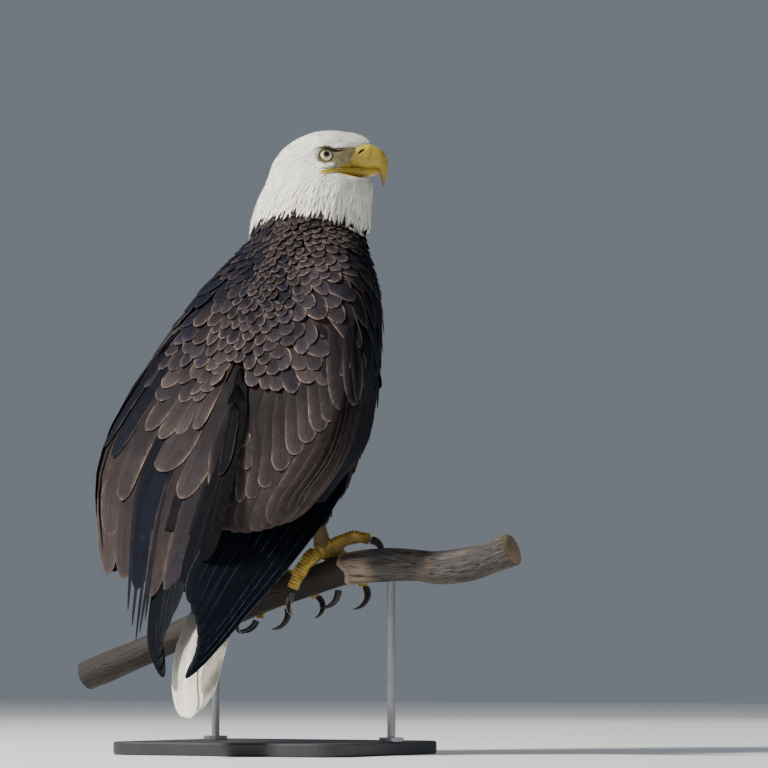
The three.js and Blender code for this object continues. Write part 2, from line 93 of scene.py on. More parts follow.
def add_light(name, place, aim, size, power, colour=(1, 1, 1), mirrored=True):
    data = bpy.data.lights.new(name, "AREA")
    data.shape, data.size, data.energy, data.color = "DISK", size, power, colour
    light = bpy.data.objects.new(name, data)
    light.location = place
    light.rotation_euler = (Vector(place) - Vector(aim)).to_track_quat("Z", "Y").to_euler()
    light.visible_glossy = mirrored
    scene.collection.objects.link(light)


set_camera()
add_light("key", (1.75, 2.3, 2.9), (0, 0, 0.5), 0.7, 300, (1.0, 0.965, 0.91))
add_light("fill", (-2.4, 1.6, 1.2), (0, 0, 0.45), 2.4, 9, (0.82, 0.9, 1.0), mirrored=False)
add_light("front", (0.4, -2.6, 1.8), (0, 0, 0.45), 2.0, 18, (0.95, 0.97, 1.0), mirrored=False)


# ---- meshes ----
def mesh_object(name, vertices, faces, smooth=True):
    """An object whose mesh has these corners, in metres, and faces."""
    mesh = bpy.data.meshes.new(name)
    mesh.from_pydata([tuple(v) for v in vertices], [], [tuple(int(i) for i in f) for f in faces])
    mesh.validate()
    if smooth:
        mesh.polygons.foreach_set("use_smooth", [True] * len(mesh.polygons))
    made = bpy.data.objects.new(name, mesh)
    scene.collection.objects.link(made)
    return made


def corners(mesh):
    flat = np.empty(len(mesh.vertices) * 3)
    mesh.vertices.foreach_get("co", flat)
    return flat.reshape(-1, 3)


def merged(names, tolerance=1e-6):
    """One bmesh of the named frame nodes, with the corners of their loose triangles joined."""
    bm = bmesh.new()
    for name in names:
        bm.from_mesh(nodes[name].data)
    bmesh.ops.remove_doubles(bm, verts=bm.verts, dist=tolerance)
    return bm


def applied(made):
    """The object's mesh with its modifiers in it, and the modifiers gone."""
    depsgraph = bpy.context.evaluated_depsgraph_get()
    mesh = bpy.data.meshes.new_from_object(made.evaluated_get(depsgraph))
    made.modifiers.clear()
    made.data = mesh
    return made


def outward(made):
    """Turns a closed mesh's faces to point outwards."""
    bm = bmesh.new()
    bm.from_mesh(made.data)
    bmesh.ops.remove_doubles(bm, verts=bm.verts, dist=1e-7)
    bmesh.ops.recalc_face_normals(bm, faces=bm.faces)
    bm.to_mesh(made.data)
    bm.free()
    return made


# ---- shader kit ----
def new_material(name):
    material = bpy.data.materials.new(name)
    material.use_nodes = True
    tree = material.node_tree
    return material, tree, tree.nodes["Principled BSDF"]


def node(tree, kind, inputs=(), **settings):
    """A shader node. An input given as a socket is linked, and any other is set."""
    made = tree.nodes.new(kind)
    for key, value in settings.items():
        setattr(made, key, value)
    for key, value in dict(inputs).items():
        if isinstance(value, bpy.types.NodeSocket):
            tree.links.new(value, made.inputs[key])
        else:
            made.inputs[key].default_value = value
    return made


def sums(tree, operation, *values, clamp=False):
    return node(tree, "ShaderNodeMath", dict(enumerate(values)), operation=operation, use_clamp=clamp).outputs[0]


def blend(tree, factor, first, second, how="MIX"):
    made = node(tree, "ShaderNodeMix", {0: factor, 6: first, 7: second}, data_type="RGBA", blend_type=how)
    return made.outputs[2]


def spread(tree, value, low, high, to_low=0.0, to_high=1.0, smooth=True):
    made = node(
        tree,
        "ShaderNodeMapRange",
        {0: value, 1: low, 2: high, 3: to_low, 4: to_high},
        interpolation_type="SMOOTHSTEP" if smooth else "LINEAR",
    )
    return made.outputs[0]


def group_tree(name, inputs, outputs):
    tree = bpy.data.node_groups.new(name, "ShaderNodeTree")
    for label, kind, value in inputs:
        socket = tree.interface.new_socket(label, in_out="INPUT", socket_type=kind)
        socket.default_value = value
    for label, kind in outputs:
        tree.interface.new_socket(label, in_out="OUTPUT", socket_type=kind)
    return tree, tree.nodes.new("NodeGroupInput").outputs, tree.nodes.new("NodeGroupOutput").inputs


def linear(red, green, blue):
    """A colour given in screen values from 0 to 255."""
    values = [c / 255 for c in (red, green, blue)]
    return tuple([c / 12.92 if c <= 0.04045 else ((c + 0.055) / 1.055) ** 2.4 for c in values] + [1.0])


COLOUR, VALUE, VECTOR = "NodeSocketColor", "NodeSocketFloat", "NodeSocketVector"


def make_grain_group():
    """Fine mottling: a value around a half at one size, with a second, larger drift."""
    tree, given, result = group_tree(
        "mottling",
        [("Place", VECTOR, (0, 0, 0)), ("Fine", VALUE, 400.0), ("Broad", VALUE, 40.0)],
        [("Fine grain", VALUE), ("Broad drift", VALUE)],
    )
    fine = node(tree, "ShaderNodeTexNoise", {"Vector": given["Place"], "Scale": given["Fine"], "Detail": 4.0})
    broad = node(tree, "ShaderNodeTexNoise", {"Vector": given["Place"], "Scale": given["Broad"], "Detail": 2.0})
    tree.links.new(fine.outputs[0], result["Fine grain"])
    tree.links.new(broad.outputs[0], result["Broad drift"])
    return tree


def make_vane_group():
    """The markings of one feather, read from its own map: barbs, shaft, pale rim and shaded base.

    The point attribute `tint` holds brightness, how blue-black it is, and how pale its rim is. `span` holds the
    feather's length, half its width and a number of its own."""
    tree, given, result = group_tree(
        "vane_markings",
        [
            ("Body", COLOUR, (0.1, 0.07, 0.05, 1)),
            ("Dusk and shade", COLOUR, (0.02, 0.025, 0.04, 1)),
            ("Rim", COLOUR, (0.4, 0.3, 0.2, 1)),
            ("Shaft", COLOUR, (0.02, 0.02, 0.02, 1)),
            ("Rim width", VALUE, 0.0013),
            ("Barb contrast", VALUE, 0.3),
        ],
        [("Colour", COLOUR), ("Height", VALUE), ("Barb", VALUE)],
    )
    place = node(tree, "ShaderNodeSeparateXYZ", {0: node(tree, "ShaderNodeUVMap", uv_map="vane").outputs[0]}).outputs
    tint = node(
        tree, "ShaderNodeSeparateColor", {0: node(tree, "ShaderNodeAttribute", attribute_name="tint").outputs["Color"]}
    ).outputs
    span = node(
        tree,
        "ShaderNodeSeparateXYZ",
        {0: node(tree, "ShaderNodeAttribute", attribute_name="span").outputs["Vector"]},
    ).outputs
    across = sums(tree, "ABSOLUTE", sums(tree, "MULTIPLY_ADD", place[0], 2.0, -1.0))
    from_shaft = sums(tree, "MULTIPLY", across, span[1])
    along = sums(tree, "MULTIPLY", place[1], span[0])
    barb_line = sums(tree, "SUBTRACT", along, sums(tree, "MULTIPLY", from_shaft, 0.75))
    barb_place = node(
        tree,
        "ShaderNodeCombineXYZ",
        {
            0: sums(tree, "MULTIPLY", barb_line, 900.0),
            1: sums(tree, "MULTIPLY", from_shaft, 60.0),
            2: sums(tree, "ADD", span[2], sums(tree, "MULTIPLY", sums(tree, "SIGN", sums(tree, "SUBTRACT", place[0], 0.5)), 3.0)),
        },
    ).outputs[0]
    barb = node(tree, "ShaderNodeTexNoise", {"Vector": barb_place, "Scale": 1.0, "Detail": 2.5}).outputs[0]
    cloud_place = node(
        tree,
        "ShaderNodeCombineXYZ",
        {0: sums(tree, "MULTIPLY", along, 60.0), 1: sums(tree, "MULTIPLY", from_shaft, 90.0), 2: span[2]},
    ).outputs[0]
    cloud = node(tree, "ShaderNodeTexNoise", {"Vector": cloud_place, "Scale": 1.0, "Detail": 2.0}).outputs[0]
    # how far in from the outline, in metres, on the sides and at the tip
    side_gap = sums(tree, "SUBTRACT", span[1], from_shaft)
    tip_gap = sums(tree, "MULTIPLY", sums(tree, "SUBTRACT", 1.0, place[1]), span[0])
    gap = sums(tree, "MINIMUM", side_gap, tip_gap)
    wavering = sums(tree, "MULTIPLY", given["Rim width"], spread(tree, barb, 0.3, 0.7, 0.6, 1.5))
    inward = sums(tree, "DIVIDE", gap, wavering)
    rim = sums(tree, "MULTIPLY", spread(tree, inward, 0.0, 1.9, 1.0, 0.0), spread(tree, cloud, 0.36, 0.62, 0.35, 1.0))
    rim = sums(tree, "MULTIPLY", rim, spread(tree, place[1], 0.3, 0.65))
    rim = sums(tree, "MULTIPLY", rim, tint[2], clamp=True)
    # the middle of a feather is the duskier, and its margins keep the body colour
    middle = spread(tree, inward, 1.0, 5.0, 0.25, 1.0)
    dusk_and_shade_share = sums(tree, "MULTIPLY", middle, sums(tree, "MULTIPLY_ADD", tint[1], 0.8, 0.28), clamp=True)
    # painted shade: a high second tint turns the whole feather to the blue-black dusk colour, on the shaded parts of
    # the plumage
    dusk_and_shade_share = sums(tree, "MAXIMUM", dusk_and_shade_share, spread(tree, tint[1], 0.6, 0.95, 0.0, 0.96))
    body = blend(tree, dusk_and_shade_share, given["Body"], given["Dusk and shade"])
    # painted shade: darker towards the root, under the feathers that overlap it; the tint's brightness, part random
    # tone and part painted light and shade for the feather's place, scales it too
    shade = sums(
        tree,
        "MULTIPLY",
        spread(tree, place[1], 0.25, 1.0, 0.5, 1.14),
        sums(tree, "MULTIPLY_ADD", tint[0], 0.75, 0.62),
    )
    shade = sums(tree, "MULTIPLY", shade, spread(tree, cloud, 0.3, 0.7, 0.86, 1.14))
    half_contrast = sums(tree, "MULTIPLY", given["Barb contrast"], 0.5)
    streak = node(
        tree,
        "ShaderNodeMapRange",
        {0: barb, 1: 0.3, 2: 0.7, 3: sums(tree, "SUBTRACT", 1.0, half_contrast), 4: sums(tree, "ADD", 1.0, half_contrast)},
    ).outputs[0]
    shade = sums(tree, "MULTIPLY", shade, streak)
    grey = node(tree, "ShaderNodeCombineXYZ", {0: shade, 1: shade, 2: shade}).outputs[0]
    body = blend(tree, 1.0, body, grey, "MULTIPLY")
    shaft = spread(tree, from_shaft, 0.00025, 0.0007, 1.0, 0.0)
    shaft = sums(tree, "MULTIPLY", shaft, spread(tree, place[1], 0.98, 0.8))
    body = blend(tree, sums(tree, "MULTIPLY", shaft, 0.75), body, given["Shaft"])
    body = blend(tree, rim, body, given["Rim"])
    height = sums(tree, "MULTIPLY_ADD", shaft, 0.8, sums(tree, "MULTIPLY", barb, 0.5))
    tree.links.new(body, result["Colour"])
    tree.links.new(height, result["Height"])
    tree.links.new(barb, result["Barb"])
    return tree


GRAIN = make_grain_group()
VANE = make_vane_group()


def use_group(tree, group, inputs=()):
    made = tree.nodes.new("ShaderNodeGroup")
    made.node_tree = group
    for key, value in dict(inputs).items():
        if isinstance(value, bpy.types.NodeSocket):
            tree.links.new(value, made.inputs[key])
        else:
            made.inputs[key].default_value = value
    return made.outputs


def bump(tree, shader, height, strength=0.4, distance=0.0005):
    made = node(tree, "ShaderNodeBump", {"Height": height, "Strength": strength, "Distance": distance})
    tree.links.new(made.outputs[0], shader.inputs["Normal"])


def object_place(tree):
    return node(tree, "ShaderNodeTexCoord").outputs["Object"]


def feather_material(name, body, dusk_and_shade, rim, shaft, rim_width=0.0013, contrast=0.3, rough=(0.64, 0.8), sheen=0.0, gloss=0.06):
    material, tree, shader = new_material(name)
    vane = use_group(
        tree,
        VANE,
        {"Body": body, "Dusk and shade": dusk_and_shade, "Rim": rim, "Shaft": shaft, "Rim width": rim_width, "Barb contrast": contrast},
    )
    tree.links.new(vane["Colour"], shader.inputs["Base Color"])
    tree.links.new(spread(tree, vane["Barb"], 0.3, 0.7, *rough), shader.inputs["Roughness"])
    shader.inputs["Sheen Weight"].default_value = sheen
    shader.inputs["Sheen Roughness"].default_value = 0.4
    shader.inputs["Specular IOR Level"].default_value = gloss
    bump(tree, shader, vane["Height"], 0.5, 0.0004)
    return material


# The second colour of each is its dusk: the dark of the feathers' middles, and also painted shade with a painted blue
# of sky light
BODY_FEATHER = feather_material(
    "body_feather",
    linear(69, 59, 58),
    linear(19, 23, 38),
    linear(146, 129, 118),
    linear(24, 21, 21),
    rim_width=0.0015,
)
QUILL_FEATHER = feather_material(
    "quill_feather",
    linear(72, 62, 59),
    linear(17, 20, 31),
    linear(142, 126, 114),
    linear(36, 31, 30),
    rim_width=0.0015,
    contrast=0.26,
)
BLADE_FEATHER = feather_material(
    "blade_feather",
    linear(26, 27, 34),
    linear(11, 15, 24),
    linear(78, 88, 104),
    linear(40, 44, 52),
    rim_width=0.0006,
    contrast=0.16,
    rough=(0.5, 0.68),
    gloss=0.08,
)
WHITE_FEATHER = feather_material(
    "white_feather",
    linear(246, 243, 234),
    linear(216, 205, 182),
    linear(252, 251, 247),
    linear(236, 230, 216),
    rim_width=0.0006,
    contrast=0.14,
    sheen=0.06,
    gloss=0.3,
)


# its dusk colour darkens the feathers along the brow: partly dark bristly feathers, partly painted shadow under the
# brow
LORE_FEATHER = feather_material(
    "lore_feather",
    linear(246, 234, 186),
    linear(40, 34, 29),
    linear(214, 204, 176),
    linear(70, 60, 48),
    rim_width=0.0004,
)


def coated(name, colour, rough, metallic=0.0, fine=600.0, gloss=0.5):
    material, tree, shader = new_material(name)
    grain = use_group(tree, GRAIN, {"Place": object_place(tree), "Fine": fine, "Broad": 30.0})
    tone = spread(tree, grain["Broad drift"], 0.3, 0.7, 0.88, 1.1)
    grey = node(tree, "ShaderNodeCombineXYZ", {0: tone, 1: tone, 2: tone}).outputs[0]
    tree.links.new(blend(tree, 1.0, colour, grey, "MULTIPLY"), shader.inputs["Base Color"])
    tree.links.new(spread(tree, grain["Fine grain"], 0.3, 0.7, rough - 0.07, rough + 0.08), shader.inputs["Roughness"])
    shader.inputs["Metallic"].default_value = metallic
    shader.inputs["Specular IOR Level"].default_value = gloss
    bump(tree, shader, grain["Fine grain"], 0.08, 0.0003)
    return material


CLAW_HORN = coated("claw_horn", linear(46, 42, 42), 0.28)
# near-black: painted shade for the gaps between the wing's long feathers
LINING_SHADE = coated("wing_lining", linear(20, 19, 22), 0.75, fine=500.0, gloss=0.06)

# ---- the skin ----
WINGS = ("right", "left")
TOES = ("inner", "middle", "outer", "hind")
FLESH = ["head", "neck", "trunk", "undertail_coverts"]
FLESH += [f"{part}_{side}" for side in WINGS for part in ("thigh", "tarsus")]
FLESH += [f"toe_{side}_{toe}" for side in WINGS for toe in TOES]
FLESH += [f"wing_{side}_coverts" for side in WINGS]
LEGS = [name for name in FLESH if name.startswith(("tarsus", "toe"))]
FORM = [name for name in FLESH if name not in LEGS] + [f"wing_{side}_secondaries" for side in WINGS]

# How deep the skin lies under the outer shape of each part, in millimetres.
COAT_DEPTH = {
    "head": 2.2, "neck": 7.0, "trunk": 7.0, "undertail_coverts": 3.0, "thigh_right": 5.5, "thigh_left": 5.5,
    "wing_right_coverts": 6.5, "wing_left_coverts": 6.5,
}


class Form:
    """A smooth closed surface that points are laid on."""

    def __init__(self, mesh):
        mesh.calc_loop_triangles()
        place = corners(mesh)
        faces = np.array([p.vertices[:] for p in mesh.loop_triangles])
        normals = np.empty(len(mesh.vertices) * 3)
        mesh.vertices.foreach_get("normal", normals)
        normals = normals.reshape(-1, 3)
        self.place, self.faces = place * 1000, faces
        self.normals = unit(normals[faces].mean(axis=1))
        self.tree = BVHTree.FromPolygons([tuple(p) for p in self.place], faces.tolist())

    def snap(self, points):
        """The nearest places on the surface to points in millimetres, and the directions out of it there."""
        found = [self.tree.find_nearest(p) for p in points]
        places = np.array([f[0][:] for f in found])
        return places, self.normals[[f[2] for f in found]]


def nearest_node(names):
    """A function that says which of the named frame nodes is nearest to each point in millimetres."""
    corners_of, faces, owner = [], [], []
    for index, name in enumerate(names):
        mesh = nodes[name].data
        mesh.calc_loop_triangles()
        start = len(corners_of)
        corners_of += [tuple(v.co * 1000) for v in mesh.vertices]
        faces += [[start + i for i in t.vertices] for t in mesh.loop_triangles]
        owner += [index] * len(mesh.loop_triangles)
    tree = BVHTree.FromPolygons(corners_of, faces)
    owner = np.array(owner)
    return lambda points: owner[[tree.find_nearest(p)[2] for p in points]]


def face_relief(points):
    """How far the face stands out sideways and up at places in millimetres: a heavy brow over a hollow, and the
    forehead's rise to the bill."""
    ahead, above, aside = head_measures(points)
    on_head_only = points[:, 2] > 690
    on_side = ramp(np.abs(aside), 10, 20) * on_head_only
    ridge = np.interp(ahead, [-20, -8, 1, 10, 18, 30], [6.0, 9.8, 10.2, 8.2, 8.8, 10.8])
    deep = np.where(above > ridge, 4.4, 1.7)
    brow = np.exp(-(((above - ridge) / deep) ** 2)) * ramp(ahead, -20, -8) * (1 - ramp(ahead, 20, 34))
    hollow = np.exp(-(((above - ridge + 8) / 4.2) ** 2)) * ramp(ahead, 7, 13) * (1 - ramp(ahead, 22, 32))
    forehead = ramp(ahead, 20, 46) * ramp(above, 4, 16) * (1 - ramp(np.abs(aside), 15, 24)) * on_head_only
    return on_side * (6.2 * brow - 2.4 * hollow), 4.6 * forehead


def grown_together(name, names, voxel, rounds):
    """The named nodes as one smooth closed surface, with nothing left inside it."""
    bm = merged(names)
    mesh = bpy.data.meshes.new(name)
    bm.to_mesh(mesh)
    bm.free()
    made = bpy.data.objects.new(name, mesh)
    scene.collection.objects.link(made)
    remesh = made.modifiers.new("remesh", "REMESH")
    remesh.mode, remesh.voxel_size = "VOXEL", voxel
    smooth = made.modifiers.new("smooth", "SMOOTH")
    smooth.factor, smooth.iterations = 0.5, rounds
    applied(made)
    bm = bmesh.new()
    bm.from_mesh(made.data)
    left, shells = set(bm.verts), []
    while left:
        stack, shell = [left.pop()], []
        while stack:
            vertex = stack.pop()
            shell.append(vertex)
            for edge in vertex.link_edges:
                other = edge.other_vert(vertex)
                if other in left:
                    left.remove(other)
                    stack.append(other)
        shells.append(shell)
    shells.sort(key=len)
    for shell in shells[:-1]:
        bmesh.ops.delete(bm, geom=shell, context="VERTS")
    # the face gets a finer mesh, then its brow and hollow
    def on_face(vertex):
        ahead, above, _ = head_measures(np.array(vertex.co) * 1000)
        return -26 < ahead < 60 and -36 < above < 30

    edges = [e for e in bm.edges if on_face(e.verts[0]) and on_face(e.verts[1])]
    bmesh.ops.subdivide_edges(bm, edges=edges, cuts=1, use_grid_fill=True, smooth=0.5)
    bmesh.ops.triangulate(bm, faces=[f for f in bm.faces if len(f.verts) > 4])
    bm.to_mesh(made.data)
    bm.free()
    place = corners(made.data) * 1000
    aside = head_measures(place)[2]
    sideways, upwards = face_relief(place)
    place += ASIDE * (np.sign(aside) * sideways)[:, None] + UP * upwards[:, None]
    made.data.vertices.foreach_set("co", (place * MM).ravel())
    made.data.update()
    return made


outer = grown_together("outer_form", FORM, 0.0026, 5)
form = Form(outer.data)
owner_at_corner = nearest_node(FORM)(form.place)
bpy.data.objects.remove(outer)


def neighbours_mean(values, edges, rounds):
    """Values at a mesh's corners, evened out along its edges."""
    count = np.zeros(len(values))
    np.add.at(count, edges[:, 0], 1)
    np.add.at(count, edges[:, 1], 1)
    count = count.reshape((-1,) + (1,) * (values.ndim - 1))
    for _ in range(rounds):
        total = np.zeros_like(values)
        np.add.at(total, edges[:, 0], values[edges[:, 1]])
        np.add.at(total, edges[:, 1], values[edges[:, 0]])
        values = 0.5 * values + 0.5 * total / count
    return values


# Where the white neck ends, as a height round the body, in millimetres above the floor.
def collar_height(points):
    away = unit(points[..., :2] - np.array([0.0, -76.0]))
    back = away @ np.array([-0.25, 0.97])
    return 641 + 26 * np.clip(back, 0, 1) - 16 * np.clip(-back, 0, 1)


# The cleft where the two wings part, painted near-black as shade, by how far right of the bird's axis it shows from
# behind and its height.
SHADED_CLEFT = np.array([(-76, 482, 5), (-77, 472, 14), (-79, 446, 18), (-86, 436, 25), (-97, 426, 17), (-103, 404, 13), (-106, 354, 11), (-116, 316, 6)], float)


def in_shaded_cleft(points, margin=0.0):
    across = points @ np.array([-0.866, -0.5, 0.0]) - 26
    line = SHADED_CLEFT[::-1]
    middle = np.interp(points[..., 2], line[:, 1], line[:, 0])
    half = np.interp(points[..., 2], line[:, 1], line[:, 2])
    inside = (points[..., 2] < 486 + margin) & (points[..., 2] > 316)
    return inside & (np.abs(across - middle) < half + margin) & (points[..., 1] > 20)


def make_skin():
    body = grown_together("skin", [name for name in FLESH if name not in LEGS], 0.0037, 3)
    mesh = body.data
    source = corners(mesh) * 1000
    names = np.array(FLESH)[nearest_node(FLESH)(source)]
    edges = np.empty(len(mesh.edges) * 2, int)
    mesh.edges.foreach_get("vertices", edges)
    edges = edges.reshape(-1, 2)
    depth = np.array([COAT_DEPTH.get(n, 0.3) for n in names])
    ahead, above, aside = head_measures(source)
    on_face = (above > -34) & (source[:, 2] > 690)
    depth = np.where((ahead > 12) & on_face, 0.9, depth)
    depth = neighbours_mean(depth, edges, 6)
    normals = np.empty(len(mesh.vertices) * 3)
    mesh.vertices.foreach_get("normal", normals)
    place = source - normals.reshape(-1, 3) * depth[:, None]
    mesh.vertices.foreach_set("co", (place * MM).ravel())
    skin_mesh, skin = mesh, body
    white, brown, yellow = linear(226, 222, 212), linear(58, 48, 44), linear(196, 154, 66)
    colour = np.array([brown] * len(place))
    colour[(source[:, 2] > collar_height(source)) | (names == "undertail_coverts")] = white
    face = ramp(ahead, 10, 22) * (above < 16) * (above > -29) * (np.abs(aside) > 6) * on_face
    colour = colour * (1 - face[:, None]) + np.array(linear(190, 158, 62)) * face[:, None]
    # painted shade: the skin in the cleft between the wings is near-black
    colour[in_shaded_cleft(source, 6.0)] = linear(14, 13, 15)
    colour = neighbours_mean(colour, edges, 3)
    markings = skin_mesh.attributes.new("markings", "FLOAT_COLOR", "POINT")
    markings.data.foreach_set("color", colour.ravel())
    skin_mesh.polygons.foreach_set("use_smooth", [True] * len(skin_mesh.polygons))
    material, tree, shader = new_material("skin_surface")
    base = node(tree, "ShaderNodeAttribute", attribute_name="markings").outputs["Color"]
    grain = use_group(tree, GRAIN, {"Place": object_place(tree), "Fine": 700.0, "Broad": 60.0})
    tone = spread(tree, grain["Fine grain"], 0.3, 0.7, 0.82, 1.1)
    grey = node(tree, "ShaderNodeCombineXYZ", {0: tone, 1: tone, 2: tone}).outputs[0]
    tree.links.new(blend(tree, 1.0, base, grey, "MULTIPLY"), shader.inputs["Base Color"])
    tree.links.new(spread(tree, grain["Broad drift"], 0.3, 0.7, 0.62, 0.8), shader.inputs["Roughness"])
    shader.inputs["Specular IOR Level"].default_value = 0.08
    bump(tree, shader, grain["Fine grain"], 0.35, 0.0006)
    skin_mesh.materials.append(material)
    return skin


skin = make_skin()

# ---- feathers ----
# Each feather is a thin closed vane of six-sided rings: left edge, left, shaft, right, right edge, underside.
RING_ACROSS = np.array([-1.0, -0.52, 0.0, 0.52, 1.0, 0.0])
RING_RISE = np.array([0.0, 0.5, 0.62, 0.5, 0.0, -0.5])


def contour_shape(t):
    rise = 0.42 + 0.58 * ramp(t, 0.0, 0.42)
    return rise * np.clip(1 - np.clip((t - 0.52) / 0.48, 0, 1) ** 2.1, 0.003, 1) ** 0.56


def hackle_shape(t):
    return (0.5 + 0.5 * ramp(t, 0.0, 0.35)) * np.clip(1 - np.clip((t - 0.38) / 0.62, 0, 1) ** 1.35, 0.03, 1)


def quill_shape(t):
    rise = 0.3 + 0.7 * ramp(t, 0.0, 0.2)
    return rise * np.sqrt(np.clip(1 - np.clip((t - 0.84) / 0.16, 0, 1) ** 2.2, 0.004, 1))


def oval_shape(t):
    rise = 0.35 + 0.65 * ramp(t, 0.0, 0.5)
    return rise * np.sqrt(np.clip(1 - np.clip((t - 0.68) / 0.32, 0, 1) ** 2.3, 0.004, 1))


def blade_shape(t):
    return (0.6 + 0.4 * ramp(t, 0.0, 0.3)) * np.clip(1 - np.clip((t - 0.8) / 0.2, 0, 1) ** 2.0, 0.004, 1) ** 0.52


def tail_shape(t):
    return (0.4 + 0.6 * ramp(t, 0.0, 0.5)) * np.clip(1 - np.clip((t - 0.74) / 0.26, 0, 1) ** 1.7, 0.01, 1) ** 0.66


CONTOUR_STATIONS = np.array([0, 0.22, 0.45, 0.64, 0.78, 0.88, 0.955, 1.0])
HACKLE_STATIONS = np.array([0, 0.25, 0.5, 0.75, 1.0])
NECK_STATIONS = np.array([0, 0.2, 0.4, 0.6, 0.8, 1.0])
QUILL_STATIONS = np.array([0, 0.1, 0.22, 0.34, 0.46, 0.58, 0.68, 0.76, 0.83, 0.89, 0.94, 0.975, 0.993, 1.0])


def unwrapped(roots):
    """Where roots in millimetres lie on an unwrap of the body round its own leaning axis."""
    around = np.arctan2(roots[:, 0], 76 - roots[:, 1] - (647 - roots[:, 2]) * 0.41) / (2 * math.pi) + 0.5
    low, high = roots[:, 2].min(), roots[:, 2].max() + 1e-6
    return np.stack([0.01 + 0.97 * around, 0.01 + 0.97 * (roots[:, 2] - low) / (high - low)], -1)


class Coat:
    """Collects feathers and makes one object of them."""

    def __init__(self, name, material, slot):
        self.name, self.material, self.slot = name, material, slot
        self.parts = []

    def add(self, spine, normal, width, tint, shape, stations, thick=0.35, camber=0.16, roll=0.0, slim_side=0.0):
        """Feathers whose shafts run through spine (count, stations, 3) in millimetres, root first.

        width is half a feather's width, and slim_side narrows one side of its vane."""
        count, steps = spine.shape[:2]
        width = np.broadcast_to(np.asarray(width, float), (count,))
        roll = np.broadcast_to(np.asarray(roll, float), (count,))
        slim = np.broadcast_to(np.asarray(slim_side, float), (count,))
        tangent = unit(np.gradient(spine, axis=1))
        side = unit(np.cross(tangent, normal))
        up = np.cross(side, tangent)
        turn = roll[:, None, None]
        side, up = side * np.cos(turn) + up * np.sin(turn), up * np.cos(turn) - side * np.sin(turn)
        half = width[:, None] * shape(stations)[None, :]
        across = RING_ACROSS[None, None, :] * half[:, :, None]
        across = across * (1 - slim[:, None, None] * (RING_ACROSS > 0))
        drop = camber * half[:, :, None] * RING_ACROSS**2
        rise = RING_RISE * thick * np.clip(half[:, :, None] / 2.5, 0.25, 1) - drop
        ring = spine[:, :, None, :] + side[:, :, None, :] * across[..., None] + up[:, :, None, :] * rise[..., None]
        length = np.linalg.norm(np.diff(spine, axis=1), axis=2).sum(axis=1)
        self.parts.append((ring, np.asarray(tint, float), stations, length, width, spine[:, 0]))

    def finish(self, replaced=()):
        vertices, loops, starts, totals, vane, bake, tints, spans = [], [], [], [], [], [], [], []
        roots = np.concatenate([p[5] for p in self.parts])
        unwrap = unwrapped(roots)
        first, feather, loop_count = 0, 0, 0
        rng = np.random.default_rng(5)
        for ring, tint, stations, length, width, _ in self.parts:
            count, steps = ring.shape[:2]
            vertices.append(ring.reshape(-1, 3))
            index = first + np.arange(count * steps * 6).reshape(count, steps, 6)
            nxt = np.roll(index, -1, axis=2)
            quads = np.stack([index[:, :-1], index[:, 1:], nxt[:, 1:], nxt[:, :-1]], -1).reshape(-1, 4)
            caps = np.concatenate([index[:, 0, :], index[:, -1, ::-1]])
            loops += [quads.ravel(), caps.ravel()]
            starts += [loop_count + np.arange(len(quads)) * 4, loop_count + len(quads) * 4 + np.arange(len(caps)) * 6]
            totals += [np.full(len(quads), 4), np.full(len(caps), 6)]
            loop_count += len(quads) * 4 + len(caps) * 6
            u = np.broadcast_to((RING_ACROSS + 1) / 2, (count, steps, 6))
            v = np.broadcast_to(stations[None, :, None], (count, steps, 6))
            vane.append(np.stack([u, v], -1).reshape(-1, 2))
            at_root = unwrap[feather : feather + count]
            bake.append((at_root[:, None, None, :] + 0.003 * np.stack([u, v], -1)).reshape(-1, 2))
            tints.append(np.repeat(np.concatenate([tint, np.ones((count, 1))], 1), steps * 6, axis=0))
            spans.append(np.repeat(np.stack([length * MM, width * MM, rng.uniform(0, 90, count)], -1), steps * 6, axis=0))
            first += count * steps * 6
            feather += count
        vertices, loops = np.concatenate(vertices) * MM, np.concatenate(loops)
        mesh = bpy.data.meshes.new(self.name)
        mesh.vertices.add(len(vertices))
        mesh.vertices.foreach_set("co", vertices.ravel())
        mesh.loops.add(len(loops))
        mesh.loops.foreach_set("vertex_index", loops)
        starts, totals = np.concatenate(starts), np.concatenate(totals)
        mesh.polygons.add(len(starts))
        mesh.polygons.foreach_set("loop_start", starts)
        mesh.polygons.foreach_set("loop_total", totals)
        mesh.update(calc_edges=True)
        mesh.polygons.foreach_set("use_smooth", np.ones(len(starts), bool))
        ends = np.empty(len(mesh.edges) * 2, int)
        mesh.edges.foreach_get("vertices", ends)
        column = ends.reshape(-1, 2) % 6
        sharp = mesh.attributes.new("sharp_edge", "BOOLEAN", "EDGE")
        sharp.data.foreach_set("value", (column[:, 0] == column[:, 1]) & np.isin(column[:, 0], (0, 4)))
        for label, values in (("vane", vane), ("OFBake", bake)):
            layer = mesh.uv_layers.new(name=label)
            layer.data.foreach_set("uv", np.concatenate(values)[loops].ravel())
        layer = mesh.attributes.new("tint", "FLOAT_COLOR", "POINT")
        layer.data.foreach_set("color", np.concatenate(tints).ravel())
        layer = mesh.attributes.new("span", "FLOAT_VECTOR", "POINT")
        layer.data.foreach_set("vector", np.concatenate(spans).ravel())
        mesh.validate()
        mesh.materials.append(self.material)
        made = bpy.data.objects.new(self.name, mesh)
        scene.collection.objects.link(made)
        print(self.name, feather, "feathers", sum(t - 2 for t in totals.tolist()), "triangles")
        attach(made, "root")
        if replaced:
            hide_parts(*replaced)
        return made


